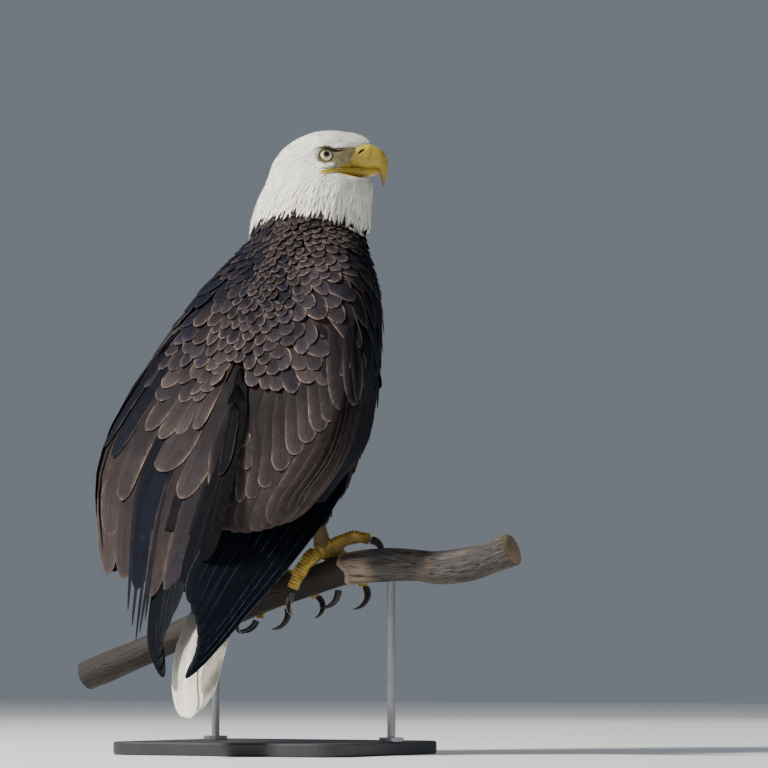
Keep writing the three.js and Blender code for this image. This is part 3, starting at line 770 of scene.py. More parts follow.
# The lie of the plumage, told at places on the body in millimetres. For each: which way the feathers point, how
# wide they are and how much of each shows, then brightness, how blue-black they are and how pale their rims are.
# Those last three are partly the feathers' own tone and partly painted light and shade: dark and blue-black where
# the plumage lies in shade or mirrors the sky, bright with pale rims where the light falls on it.
SIGHT_RIGHT = np.array([-0.866, -0.5, 0.0])


def slant(degrees):
    """Down the body, leaning towards the bird's right as seen from behind."""
    angle = math.radians(degrees)
    return SIGHT_RIGHT * math.sin(angle) - UP * math.cos(angle)


LIE = [
    # the mantle and the right shoulder
    ((-26, -13, 653), slant(20), 10, 7.5, 0.35, 0.45, 0.4),
    ((-60, -45, 650), slant(25), 10, 7.5, 0.5, 0.25, 0.55),
    ((-93, -77, 615), slant(0), 11, 10, 0.25, 0.85, 0.15),
    ((-29, 16, 610), slant(28), 10.5, 8, 0.28, 0.6, 0.45),
    ((-80, 20, 590), slant(32), 14, 12, 0.45, 0.3, 0.75),
    ((-114, 25, 556), slant(32), 23, 25, 0.42, 0.4, 0.8),
    ((-26, 46, 558), slant(32), 12, 9, 0.18, 0.75, 0.45),
    ((-71, 62, 506), slant(35), 20, 15, 0.28, 0.55, 0.65),
    ((-95, 53, 518), slant(34), 25, 26, 0.38, 0.45, 0.75),
    ((-134, 29, 517), slant(20), 24, 34, 0.3, 0.6, 0.6),
    ((-133, -7, 523), slant(5), 22, 34, 0.25, 0.9, 0.25),
    ((-126, -38, 498), slant(0), 20, 34, 0.2, 1.0, 0.12),
    ((-14, 74, 495), slant(15), 16, 11, 0.35, 0.5, 0.75),
    ((-64, 72, 481), slant(32), 22, 17, 0.4, 0.35, 0.8),
    ((-4, 92, 451), slant(0), 18, 13, 0.5, 0.2, 1.0),
    ((-85, 91, 430), slant(22), 24, 20, 0.45, 0.25, 0.85),
    # the left shoulder
    ((56, 90, 453), slant(-5), 19, 11, 0.65, 0.1, 1.0),
    ((70, 70, 500), slant(-5), 17, 12, 0.4, 0.4, 0.75),
    ((87, 75, 486), slant(-20), 20, 17, 0.4, 0.55, 0.5),
    ((93, 99, 430), slant(-12), 24, 15, 0.5, 0.25, 0.85),
    ((97, 25, 572), slant(-25), 20, 24, 0.2, 0.9, 0.2),
    ((60, 10, 610), slant(-15), 14, 14, 0.2, 0.9, 0.2),
    ((30, -13, 650), slant(-5), 11, 10, 0.25, 0.8, 0.25),
    ((150, 60, 440), slant(-30), 25, 40, 0.25, 0.85, 0.2),
    ((100, -80, 600), (0.1, 0.2, -1), 14, 14, 0.4, 0.5, 0.35),
    ((130, -30, 500), (0.15, 0.2, -1), 22, 28, 0.4, 0.5, 0.4),
    # the breast, flanks and belly
    ((0, -135, 610), (0, -0.2, -1), 13, 12, 0.5, 0.25, 0.45),
    ((-60, -125, 590), (-0.1, 0, -1), 14, 13, 0.45, 0.3, 0.4),
    ((60, -125, 590), (0.1, 0, -1), 14, 13, 0.45, 0.3, 0.4),
    ((0, -140, 500), (0, 0, -1), 18, 16, 0.45, 0.3, 0.5),
    ((0, -100, 400), (0, 0.15, -1), 19, 18, 0.4, 0.4, 0.35),
    ((0, -30, 300), (0, 0.5, -1), 18, 18, 0.35, 0.5, 0.3),
    ((-54, -60, 400), (0, 0.05, -1), 14, 15, 0.35, 0.55, 0.25),
    ((50, -60, 400), (0, 0.05, -1), 14, 15, 0.35, 0.55, 0.25),
    ((-52, -40, 320), (0, 0.1, -1), 12, 14, 0.35, 0.55, 0.25),
    ((40, -40, 320), (0, 0.1, -1), 12, 14, 0.35, 0.55, 0.25),
]
LIE_PLACE = np.array([g[0] for g in LIE], float)
LIE_WAY = unit(np.array([g[1] for g in LIE], float))
LIE_VALUES = np.array([g[2:] for g in LIE], float)


def lie_weights(points, places=None, sharpness=3.0):
    gaps = np.linalg.norm(points[:, None, :] - (LIE_PLACE if places is None else places)[None], axis=2)
    weights = 1 / (gaps**2 + 120.0) ** sharpness
    return weights / weights.sum(axis=1, keepdims=True)


def body_way(points):
    return lie_weights(points) @ LIE_WAY


def head_way(points):
    """Off the face, back over the crown and cheeks, and down the neck."""
    ahead, above, aside = head_measures(points)
    down = ramp(-above, -30, 60)[:, None]
    back = -AHEAD[None, :] * (1.0 - 0.62 * ramp(-above, 10, 80)[:, None])
    out = ASIDE[None, :] * (np.sign(aside) * ramp(ahead, -10, 40) * 0.35)[:, None]
    lift = UP[None, :] * (ramp(ahead, 10, 50) * ramp(above, 10, 34) * 0.35)[:, None]
    return unit(back + out + lift - UP[None, :] * (0.15 + 1.15 * down))


def march(tips, lengths, way, stations, surface=form):
    """Shafts laid on a surface from their tips back to their roots, against the way that the feathers point."""
    spine = np.empty((len(tips), len(stations), 3))
    normal = np.empty_like(spine)
    places = tips
    for k in range(len(stations) - 1, -1, -1):
        places, out = surface.snap(places)
        spine[:, k], normal[:, k] = places, out
        if k:
            along = way(places)
            along = unit(along - out * (along * out).sum(axis=1, keepdims=True))
            places = places - along * (lengths * (stations[k] - stations[k - 1]))[:, None]
    return spine, normal


def sink(spine, normal, stations, depth, lift=0.0):
    """Roots go down into the coat by depth, and tips stand a little off it."""
    depth = np.broadcast_to(np.asarray(depth, float), (len(spine),))[:, None]
    lift = np.broadcast_to(np.asarray(lift, float), (len(spine),))[:, None]
    height = -depth * (1 - stations) + lift * stations**4
    return spine + normal * height[..., None]


def scatter(keep, spacing, tries, seed):
    """Places on the outer form, about one spacing apart. keep says which faces of it may hold them."""
    rng = np.random.default_rng(seed)
    faces = form.faces[keep]
    triangle = form.place[faces]
    area = np.linalg.norm(np.cross(triangle[:, 1] - triangle[:, 0], triangle[:, 2] - triangle[:, 0]), axis=1)
    share = area / spacing(triangle.mean(axis=1)) ** 2
    pick = rng.choice(len(faces), int(share.sum() * tries), p=share / share.sum())
    first, second = np.sqrt(rng.random(len(pick))), rng.random(len(pick))
    weights = np.stack([1 - first, first * (1 - second), first * second], -1)
    points = (triangle[pick] * weights[..., None]).sum(axis=1)
    gap = spacing(points)
    cell = gap.max()
    taken, chosen = {}, []
    for i, (point, own) in enumerate(zip(points.tolist(), gap.tolist())):
        key = tuple(int(c // cell) for c in point)
        free = True
        for dx in (-1, 0, 1):
            for dy in (-1, 0, 1):
                for dz in (-1, 0, 1):
                    for x, y, z, other in taken.get((key[0] + dx, key[1] + dy, key[2] + dz), ()):
                        limit = (own + other) / 2
                        if (point[0] - x) ** 2 + (point[1] - y) ** 2 + (point[2] - z) ** 2 < limit * limit:
                            free = False
                            break
                    if not free:
                        break
                if not free:
                    break
            if not free:
                break
        if free:
            taken.setdefault(key, []).append((*point, own))
            chosen.append(i)
    return points[chosen], rng


face_middle = form.place[form.faces].mean(axis=1)
face_owner = np.array(FORM)[owner_at_corner[form.faces[:, 0]]]


def owned(*prefixes):
    return np.array([name.startswith(prefixes) for name in face_owner])


def lay_contour(coat, keep, seed, size=1.0, depth=5.0, spacing_share=0.9, tries=9, lift=0.8, length_share=2.7):
    """A tract of body feathers, with sizes and colours from the lie of the plumage."""

    def values(points):
        return lie_weights(points) @ LIE_VALUES

    def spacing(points):
        found = values(points)
        return spacing_share * size * np.sqrt(found[:, 0] * found[:, 1])

    tips, rng = scatter(keep, spacing, tries, seed)
    tips = tips[~in_shaded_cleft(tips)]
    found = values(tips)
    wide = found[:, 0] * size * rng.uniform(0.85, 1.2, len(tips))
    shown = found[:, 1] * size * rng.uniform(0.85, 1.2, len(tips))
    lengths = shown * length_share + 6
    turn = rng.normal(0, 0.14, len(tips))

    def way(points):
        straight = body_way(points)
        return straight + np.cross(straight, form_out(points)) * turn[:, None]

    spine, normal = march(tips, lengths, way, CONTOUR_STATIONS)
    spine = sink(spine, normal, CONTOUR_STATIONS, depth, rng.normal(lift, 0.35, len(tips)))
    tint = np.stack(
        [
            np.clip(found[:, 2] + rng.normal(0, 0.16, len(tips)), 0, 1),
            np.clip(found[:, 3] + rng.normal(0, 0.16, len(tips)), 0, 1),
            np.clip(found[:, 4] * rng.uniform(0.4, 1.2, len(tips)), 0, 1),
        ],
        -1,
    )
    coat.add(spine, normal, wide * 0.62, tint, contour_shape, CONTOUR_STATIONS, camber=0.14, roll=rng.normal(0, 0.05, len(tips)))


def form_out(points):
    return unit(points - np.array([0.0, -60.0, 0.0]) - UP * points[:, 2:3])


# ---- the coat, tract by tract ----
white_zone = face_middle[:, 2] > collar_height(face_middle) - 2


def bare_face(points):
    """Where the face has no feathers: round the eye, on the lores' front edge, and on the bill's skin."""
    ahead, above, aside = head_measures(points)
    aside = np.abs(aside)
    eye = ((ahead + 1) / 12.0) ** 2 + (above / 9.6) ** 2 < 1
    cere_line = np.interp(above, [-24, -13, -4, 10, 17, 24], [-4, 24, 35, 41, 50, 59])
    beak = (ahead > cere_line) & (above > -24)
    gape = (above < np.interp(ahead, [-12, 24, 34], [-21.5, -12, -4])) & (above > -28.5) & (ahead > -12)
    return (eye & (aside > 18)) | beak | (gape & (aside > 8))


def lay_white():
    coat = Coat("coat_head", WHITE_FEATHER, "white_feather")
    keep = owned("head") & ~bare_face(face_middle)

    def spacing(points):
        ahead, above, _ = head_measures(points)
        return np.interp(ahead, [-70, -30, 0, 30, 55], [3.7, 3.0, 2.3, 1.8, 1.6])

    tips, rng = scatter(keep, spacing, 7, 11)
    tips = tips[~bare_face(tips)]
    gap = spacing(tips)
    lengths = gap * 5.6 * rng.uniform(0.8, 1.25, len(tips))
    spine, normal = march(tips, lengths, head_way, HACKLE_STATIONS)
    spine = sink(spine, normal, HACKLE_STATIONS, 1.5, rng.normal(0.25, 0.15, len(tips)))
    # the feathers before the eye and under the brow are dark, partly as dark bristly feathers and partly as painted
    # shadow under the brow, and yellowish lower down
    ahead, above, aside = head_measures(tips)
    lore = (ahead > 8) & (ahead < 42) & (above < 12) & (above > -18) & (np.abs(aside) > 10)
    line = np.interp(ahead, [-13, -3, 9, 16, 30], [7.4, 9.0, 6.2, 6.6, 9.2])
    lore &= above < line + 1.5
    brow = (ahead > -13) & (ahead < 29) & (np.abs(above - line) < 2.2) & (np.abs(aside) > 18)
    chosen = ~(lore | brow)
    plain = rng.uniform(0, 0.4, len(tips)) ** 2
    tint = np.stack([rng.uniform(0.55, 0.8, len(tips)), plain, rng.uniform(0.2, 0.9, len(tips))], -1)
    turn = rng.normal(0, 0.1, len(tips))

    def lay(coat, chosen, tint, share):
        coat.add(
            spine[chosen], normal[chosen], gap[chosen] * share, tint[chosen], hackle_shape, HACKLE_STATIONS,
            thick=0.26, camber=0.12, roll=turn[chosen],
        )
        coat.finish()

    lay(coat, chosen, tint, 0.8)
    # painted shadow: a dark band along the brow line, fainter towards the bill, with random dark flecks
    darkness = 0.9 * ramp(above - line, -3.4, 0) * (1 - 0.5 * ramp(ahead, 18, 32)) * ramp(line - above, -2.6, -0.6)
    darkness += rng.normal(0, 0.1, len(tips)) + 0.5 * (rng.random(len(tips)) > 0.9)
    tint = np.stack([rng.uniform(0.3, 0.8, len(tips)), np.clip(darkness, 0, 1), rng.uniform(0, 0.5, len(tips))], -1)
    lay(Coat("coat_lores", LORE_FEATHER, "white_feather"), ~chosen, tint, 0.5)

    coat = Coat("coat_neck", WHITE_FEATHER, "white_feather")
    keep = owned("neck", "trunk", "wing") & white_zone

    def neck_spacing(points):
        return np.interp(points[:, 2], [640, 690, 730], [5.2, 4.2, 3.3])

    for seed, part, deep in ((12, 1.0, 5.5), (13, 1.35, 2.5)):
        tips, rng = scatter(keep, lambda p: neck_spacing(p) * part, 7, seed)
        gap = neck_spacing(tips) * part
        lengths = gap * 7.5 * rng.uniform(0.7, 1.35, len(tips))
        spine, normal = march(tips, lengths, head_way, NECK_STATIONS)
        loose = rng.normal(0.3, 0.45, len(tips)) + 0.9 * ramp(-tips[:, 2], -680, -640)
        spine = sink(spine, normal, NECK_STATIONS, deep, loose)
        tint = np.stack(
            [rng.uniform(0.5, 0.8, len(tips)), rng.uniform(0, 0.5, len(tips)) ** 2, rng.uniform(0.2, 0.9, len(tips))], -1
        )
        coat.add(spine, normal, gap * 0.82, tint, hackle_shape, NECK_STATIONS, thick=0.3, camber=0.14, roll=rng.normal(0, 0.1, len(tips)))
    coat.finish()


lay_white()

brown_zone = face_middle[:, 2] < collar_height(face_middle) + 3
coat = Coat("coat_mantle", BODY_FEATHER, "brown_feather")
lay_contour(coat, (owned("wing_right_coverts", "wing_left_coverts", "neck") & brown_zone), 21)
coat.finish()
coat = Coat("coat_breast", BODY_FEATHER, "brown_feather")
lay_contour(coat, owned("trunk") & brown_zone & (face_middle[:, 2] > 250), 22)
coat.finish()
coat = Coat("coat_thighs", BODY_FEATHER, "brown_feather")
lay_contour(coat, owned("thigh"), 23, depth=4.0)
coat.finish()

# ---- the wing's long feathers ----
def through(points, t):
    """Places along smooth lines through points (count, steps, 3), a share t of the way along each."""
    count = len(t)
    points = np.broadcast_to(points, (count,) + points.shape[-2:])
    steps = points.shape[1]
    at = (steps - 1) * np.clip(t, 0, 1)
    i = np.minimum(at.astype(int), steps - 2)
    w, n = (at - i)[:, None], np.arange(count)
    second, third = points[n, i], points[n, i + 1]
    first = np.where((i > 0)[:, None], points[n, np.maximum(i - 1, 0)], 2 * second - third)
    fourth = np.where((i + 2 < steps)[:, None], points[n, np.minimum(i + 2, steps - 1)], 2 * third - second)
    gaps = [np.sqrt(np.linalg.norm(b - a, axis=1))[:, None] for a, b in ((first, second), (second, third), (third, fourth))]
    d1 = np.where(gaps[1] < 1e-4, 1.0, gaps[1])
    d0, d2 = np.where(gaps[0] < 1e-4, d1, gaps[0]), np.where(gaps[2] < 1e-4, d1, gaps[2])
    start = ((second - first) / d0 - (third - first) / (d0 + d1) + (third - second) / d1) * d1
    end = ((third - second) / d1 - (fourth - second) / (d1 + d2) + (fourth - third) / d2) * d1
    return second + start * w + (3 * (third - second) - 2 * start - end) * w**2 + (2 * (second - third) + start + end) * w**3


# Each wing's outer surface in rows from the shoulder to the lowest feather tips. Along a row: the breast edge,
# the flank, the rear corner and the edge over the spine. X is measured outwards.
WING_ROWS = {
    "right": [
        [(45, -70, 405), (80, -30, 424), (62, 20, 437), (1, 46, 428)],
        [(80, -68, 345), (112, -12, 345), (112, 68, 350), (1, 96, 350)],
        [(106, -25, 250), (132, 34, 245), (144, 108, 240), (1, 142, 235)],
        [(112, 16, 160), (124, 74, 150), (138, 134, 145), (-3, 178, 140)],
        [(92, 64, 100), (100, 106, 84), (86, 152, 66), (-3, 202, 56)],
    ],
    "left": [
        [(45, -70, 405), (80, -30, 420), (60, 20, 424), (1, 46, 427)],
        [(82, -68, 345), (118, -12, 345), (110, 70, 350), (1, 96, 350)],
        [(116, -22, 245), (158, 42, 240), (166, 122, 238), (1, 142, 235)],
        [(142, 30, 125), (184, 92, 122), (197, 156, 132), (-7, 192, 112)],
        [(160, 88, 10), (186, 136, 4), (172, 182, -6), (5, 238, -36)],
    ],
}
# Leading and trailing edges of the folded primaries, from under the coverts to the tip.
BLADES = {
    "right": (
        [(-104, 6, 200), (-100, 48, 110), (-86, 96, 56), (-75, 164, 0), (-50, 218, -52), (-8, 276, -130)],
        [(-36, 112, 185), (-18, 152, 110), (-1, 196, 50), (7, 240, -10), (6, 264, -62), (0, 281, -134)],
    ),
    "left": (
        [(120, 60, 190), (116, 110, 110), (98, 160, 40), (76, 216, -34), (58, 246, -78), (26, 267, -128)],
        [(60, 110, 180), (44, 150, 110), (34, 184, 50), (30, 226, -20), (26, 250, -76), (20, 269, -132)],
    ),
}


class Surface:
    """A smooth surface at(u, v) in millimetres, with the direction out of it."""

    def __init__(self, place, outward, fixed=None):
        self.place, self.outward, self.fixed = place, outward, fixed

    def at(self, u, v):
        inside = np.clip(v, 0, 1)
        beyond = (v - inside)[:, None]
        slope = (self.place(u, np.clip(inside + 0.01, 0, 1)) - self.place(u, np.clip(inside + 0.01, 0, 1) - 0.02)) / 0.02
        return self.place(u, inside) + beyond * slope

    def out(self, u, v):
        if self.fixed is not None:
            return unit(np.array([self.fixed]) * np.ones((len(u), 1)))
        nudge = 0.02
        along_u = self.at(np.clip(u + nudge, 0, 1), v) - self.at(np.clip(u - nudge, 0, 1), v)
        along_v = self.at(u, v + nudge) - self.at(u, v - nudge)
        normal = unit(np.cross(along_u, along_v))
        facing = np.sign((normal * self.outward(self.at(u, v))).sum(axis=1, keepdims=True))
        return normal * facing


def wing_surface(side):
    rows = np.array(WING_ROWS[side], float)
    rows[..., 0] *= -1 if side == "right" else 1

    def place(u, v):
        lines = np.stack([through(row, u) for row in rows], axis=1)
        return through(lines, v) + BIRD_ORIGIN

    return Surface(place, lambda points: points - np.array([0.0, -22.0, 0.0]) - UP * points[:, 2:3])


def blade_surface(side):
    lead, trail = (np.array(edge, float) for edge in BLADES[side])

    def place(u, v):
        u = np.clip(u, -0.15, 1.15)
        points = through(lead, v) * (1 - u)[:, None] + through(trail, v) * u[:, None]
        away = unit(np.stack([np.where(points[:, 0] < 0, -1.0, 1.0), np.ones(len(u)), np.zeros(len(u))], -1))
        return points + away * (5 * np.sin(np.pi * np.clip(u, 0, 1)))[:, None] + BIRD_ORIGIN

    return Surface(place, None, fixed=(-0.55, 0.58, 0.6) if side == "right" else (0.3, 0.8, 0.5))


def quills(coat, surface, rows, thick=0.6, camber=0.1, seed=1, shape=quill_shape):
    """Long feathers. For each: u and v of its tip, u and v of its root, half its width, how deep its root
    and its tip lie, its turn about its shaft, and its three tints."""
    rows = np.array(rows, float)
    rng = np.random.default_rng(seed)
    t = QUILL_STATIONS
    bow = rng.normal(0, 0.006, len(rows))[:, None] * np.sin(np.pi * t)[None]
    u = rows[:, 2:3] + (rows[:, 0:1] - rows[:, 2:3]) * t + bow
    v = rows[:, 3:4] + (rows[:, 1:2] - rows[:, 3:4]) * t
    spine = surface.at(u.ravel(), v.ravel()).reshape(*u.shape, 3)
    normal = surface.out(u.ravel(), v.ravel()).reshape(*u.shape, 3)
    depth = rows[:, 5:6] * (1 - t) + rows[:, 6:7] * t
    spine = spine - normal * depth[..., None]
    coat.add(spine, normal, rows[:, 4], rows[:, 8:11], shape, t, thick=thick, camber=camber, roll=rows[:, 7])


def covert_rows(side, rng):
    """The greater coverts and the feathers over the wing's inner edge, by where their tips lie, half their
    width, how dusky they are and how far up their roots lie."""
    if side == "right":
        tips = [
            (0.955, 0.935, 23, 0.6, 0.36), (0.915, 0.92, 9, 0.0, 0.34),
            (0.945, 0.72, 13, 0.3, 0.2), (0.92, 0.80, 12, 0.1, 0.24), (0.885, 0.91, 12.5, 0.1, 0.3), (0.86, 0.87, 13.5, 0.1, 0.3),
            (0.835, 0.81, 14, 0.15, 0.28), (0.812, 0.755, 14, 0.2, 0.26), (0.79, 0.715, 14, 0.25, 0.26),
            (0.765, 0.68, 14, 0.3, 0.26), (0.735, 0.65, 14, 0.4, 0.26), (0.70, 0.615, 14, 0.5, 0.26), (0.64, 0.60, 14, 0.6, 0.26),
            (0.58, 0.60, 14, 0.75, 0.26), (0.52, 0.60, 14, 0.9, 0.26), (0.46, 0.60, 13, 1, 0.26), (0.39, 0.60, 13, 1, 0.26),
            (0.32, 0.605, 13, 1, 0.26), (0.24, 0.61, 13, 1, 0.26), (0.16, 0.615, 12, 1, 0.26), (0.08, 0.62, 11, 1, 0.26),
            (0.01, 0.62, 10, 1, 0.26),
        ]
        lean = 0.055
    else:
        tips = [
            (0.995, 0.74, 10, 1, 0.24), (0.79, 0.82, 19, 0.35, 0.32), (0.918, 0.80, 23, 0.35, 0.3), (0.865, 0.745, 28, 0.3, 0.28),
            (0.92, 0.63, 12, 0.1, 0.2), (0.885, 0.645, 13, 0.1, 0.2), (0.85, 0.66, 14, 0.15, 0.2), (0.815, 0.64, 15, 0.4, 0.22),
            (0.745, 0.72, 14, 0.95, 0.34), (0.69, 0.69, 15, 0.95, 0.34), (0.62, 0.67, 15, 0.9, 0.3), (0.55, 0.665, 15, 0.9, 0.28),
            (0.48, 0.66, 14, 0.9, 0.26), (0.41, 0.66, 14, 0.9, 0.26), (0.34, 0.655, 14, 0.9, 0.26), (0.27, 0.65, 14, 0.9, 0.26),
            (0.2, 0.65, 13, 0.9, 0.26), (0.13, 0.645, 12, 0.9, 0.26), (0.06, 0.64, 12, 0.9, 0.26), (0.01, 0.635, 10, 0.9, 0.26),
        ]
        lean = 0.05
    # painted shade: brightness drops at the wing's inner edge, by the cleft; the fully dusky feathers towards the flank
    # are dark feathers and painted shade in one
    rows = []
    for order, (u, v, half, dusk_and_shade, length) in enumerate(tips):
        roll = 0.06 if side == "right" else -0.05
        rows.append(
            (u, v, min(u + lean * min(1, u * 3), 1.03), v - length, half, 4.0, 0.2 + 0.14 * (order % 3), roll)
            + (0.5 + rng.normal(0, 0.1) - 0.9 * (u > 0.98), dusk_and_shade, 0.95 - 0.8 * dusk_and_shade)
        )
    return rows


def secondary_rows(side, rng):
    """The long inner quills, by where their tips lie."""
    if side == "right":
        tips = [
            (0.985, 0.985, 17, 0.7), (0.945, 1.02, 19, 0.35), (0.905, 1.03, 19, 0.2), (0.865, 1.035, 19, 0.15),
            (0.83, 1.03, 19, 0.15), (0.795, 1.025, 19, 0.1), (0.76, 1.015, 19, 0.15), (0.72, 1.01, 18, 0.2), (0.68, 1.0, 17, 0.3),
            (0.645, 0.985, 16, 0.4), (0.61, 0.97, 16, 0.55), (0.57, 0.96, 15, 0.7), (0.53, 0.955, 15, 0.85), (0.46, 0.98, 14, 1),
            (0.39, 0.99, 14, 1), (0.32, 1.0, 14, 1), (0.25, 1.0, 14, 1), (0.18, 1.0, 14, 1), (0.11, 1.0, 13, 1),
            (0.05, 1.0, 12, 1), (0.01, 0.99, 10, 1),
        ]
        lean, from_v = 0.0, 0.48
    else:
        tips = [
            (0.80, 1.05, 3, 1), (0.815, 1.08, 3, 1), (0.83, 1.11, 2.6, 1), (0.845, 1.09, 2.8, 1), (0.86, 1.06, 3, 1),
            (1.0, 0.92, 17, 0.95), (0.965, 0.985, 18, 0.8), (0.92, 1.0, 18, 0.55), (0.87, 1.01, 18, 0.2), (0.83, 1.0, 18, 0.95),
            (0.785, 0.985, 19, 0.3), (0.84, 0.90, 18, 0.9), (0.715, 0.985, 22, 0.1), (0.745, 0.90, 20, 0.25), (0.67, 0.955, 18, 0.35),
            (0.62, 0.985, 17, 0.5), (0.56, 0.99, 17, 0.7), (0.5, 1.0, 17, 0.8), (0.43, 1.0, 17, 0.8), (0.36, 1.0, 16, 0.8),
            (0.29, 1.0, 16, 0.8), (0.22, 1.0, 16, 0.8), (0.15, 1.0, 16, 0.8), (0.08, 1.0, 15, 0.8), (0.02, 1.0, 13, 0.8),
        ]
        lean, from_v = 0.07, 0.46
    rows = []
    # painted shade: quills at the wing's inner edge, by the cleft, are made darker, fully blue-black and rimless; the
    # dusky ones towards the flank are dark feathers and painted shade in one
    for order, (u, v, half, dusk_and_shade) in enumerate(tips):
        layer = 0.4 * (order % 3) + (0.0 if side == "right" else 0.5 * (v > 0.95))
        rows.append(
            (u, v, min(u + lean * min(1, u * 2), 1.02), from_v, half, 4.5, 1.5 + layer, 0.04)
            + (0.5 + rng.normal(0, 0.09) - 1.0 * (u > 0.95), max(dusk_and_shade, float(u > 0.95)), (0.3 - 0.25 * dusk_and_shade) * (u < 0.95))
        )
    return rows


def primary_rows(side, rng):
    """The folded blade, from the quill along its trailing edge to the long outermost one."""
    count = 8 if side == "right" else 6
    rows = []
    for k in range(count):
        share = k / (count - 1)
        u = 0.9 - 0.8 * share
        tip = 0.72 + 0.265 * share**0.8
        # painted shade: the left blade, under the wing, is darker and blue-black with faint rims; the right blade keeps
        # pale rims
        rows.append(
            (0.5 + (u - 0.5) * 0.95, tip, u, -0.02, 16 - 4 * share, 2.0 + 0.5 * k, 0.4 + 0.75 * k, 0.0)
            + ((0.4, 0.9, 0.8) if side == "right" else (-0.1, 1.0, 0.1))
        )
    return rows


def make_lining(side, surface):
    """The wing's own body behind its long feathers."""
    across, down = 44, 40
    u, v = (a.ravel() for a in np.meshgrid(np.linspace(0, 1, across), np.linspace(0, 1, down)))
    at_v = 0.50 + 0.37 * v
    place, out = surface.at(u, at_v), surface.out(u, at_v)
    faces_out = place - out * (6.0 - 2.6 * v)[:, None]
    faces_in = place - out * (11.0 - 6.8 * v)[:, None]
    points = np.concatenate([faces_out, faces_in])
    grid = np.arange(across * down).reshape(down, across)
    cells = np.stack([grid[:-1, :-1], grid[:-1, 1:], grid[1:, 1:], grid[1:, :-1]], -1).reshape(-1, 4)
    rim = np.concatenate([grid[0], grid[1:, -1], grid[-1, -2::-1], grid[-2:0:-1, 0]])
    after, back = np.roll(rim, -1), across * down
    faces = cells.tolist() + (cells[:, ::-1] + back).tolist()
    faces += np.stack([rim, rim + back, after + back, after], -1).tolist()
    lining = outward(mesh_object(f"wing_lining_{side}", points * MM, faces))
    lining.data.materials.append(LINING_SHADE)
    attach(lining, "root")
    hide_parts(f"wing_{side}_secondaries")


for side in WINGS:
    rng = np.random.default_rng(31 if side == "right" else 32)
    surface = wing_surface(side)
    make_lining(side, surface)
    coat = Coat(f"coat_wing_{side}", QUILL_FEATHER, "brown_feather")
    quills(coat, surface, secondary_rows(side, rng), thick=0.8, camber=0.09, seed=41)
    quills(coat, surface, covert_rows(side, rng), thick=0.6, camber=0.14, seed=42, shape=oval_shape)
    coat.finish()
    coat = Coat(f"primary_quills_{side}", BLADE_FEATHER, "flight_feather")
    quills(coat, blade_surface(side), primary_rows(side, rng), thick=1.0, camber=0.08, seed=43, shape=blade_shape)
    coat.finish([f"wing_{side}_primaries"])


# ---- tail ----
def make_tail():
    path = np.array([(0, 132, 46), (0, 178, -16), (3, 222, -78), (-2, 247, -128), (-10, 257, -162), (-13, 260, -178)], float)

    def place(u, v):
        narrowing = np.interp(v, [0, 0.45, 1.0], [80, 64, 22])
        return through(path, v) + BIRD_ORIGIN + np.stack([(u - 0.5), 0 * u, 0 * u], -1) * narrowing[:, None]

    surface = Surface(place, None, fixed=(0.0, 0.9, 0.45))
    rng = np.random.default_rng(51)
    rows = []
    # from the outermost feathers, which lie lowest, to the middle pair
    for k, (u, tip) in enumerate(
        [(0.05, 0.74), (0.97, 0.93), (0.14, 0.79), (0.89, 0.95), (0.23, 0.84), (0.81, 0.965), (0.33, 0.885), (0.71, 0.98), (0.43, 0.94), (0.58, 1.0)]
    ):
        root = 0.5 + (u - 0.5) * 0.6
        # painted shade: the feathers on the right, u under 0.4, are darker and duskier
        rows.append(
            (u, tip, root, 0.0, 12, 5 - k * 0.9, 4.5 - 1.05 * k, 0.2 if u < 0.5 else -0.16)
            + (0.5 + rng.normal(0, 0.16) - 0.4 * (u < 0.4), 0.1 + 0.4 * rng.random() + 0.5 * (u < 0.4), 0.3)
        )
    coat = Coat("coat_tail", WHITE_FEATHER, "white_feather")
    quills(coat, surface, rows, thick=0.8, camber=0.12, seed=52, shape=tail_shape)
    coat.finish(["tail"])


make_tail()
coat = Coat("coat_undertail", WHITE_FEATHER, "white_feather")


def lay_undertail(coat):
    keep = owned("undertail")
    tips, rng = scatter(keep, lambda p: np.full(len(p), 8.5), 8, 61)
    spine, normal = march(
        tips, rng.uniform(26, 42, len(tips)), lambda p: np.array([[0.0, 0.55, -1.0]]) * np.ones((len(p), 1)), CONTOUR_STATIONS
    )
    spine = sink(spine, normal, CONTOUR_STATIONS, 4.0, rng.normal(1.2, 0.8, len(tips)))
    tint = np.stack([rng.uniform(0.3, 0.7, len(tips)), rng.uniform(0.1, 0.7, len(tips)), rng.uniform(0, 0.5, len(tips))], -1)
    coat.add(spine, normal, rng.uniform(5, 8, len(tips)), tint, hackle_shape, CONTOUR_STATIONS, thick=0.3, camber=0.2)
    coat.finish()


lay_undertail(coat)

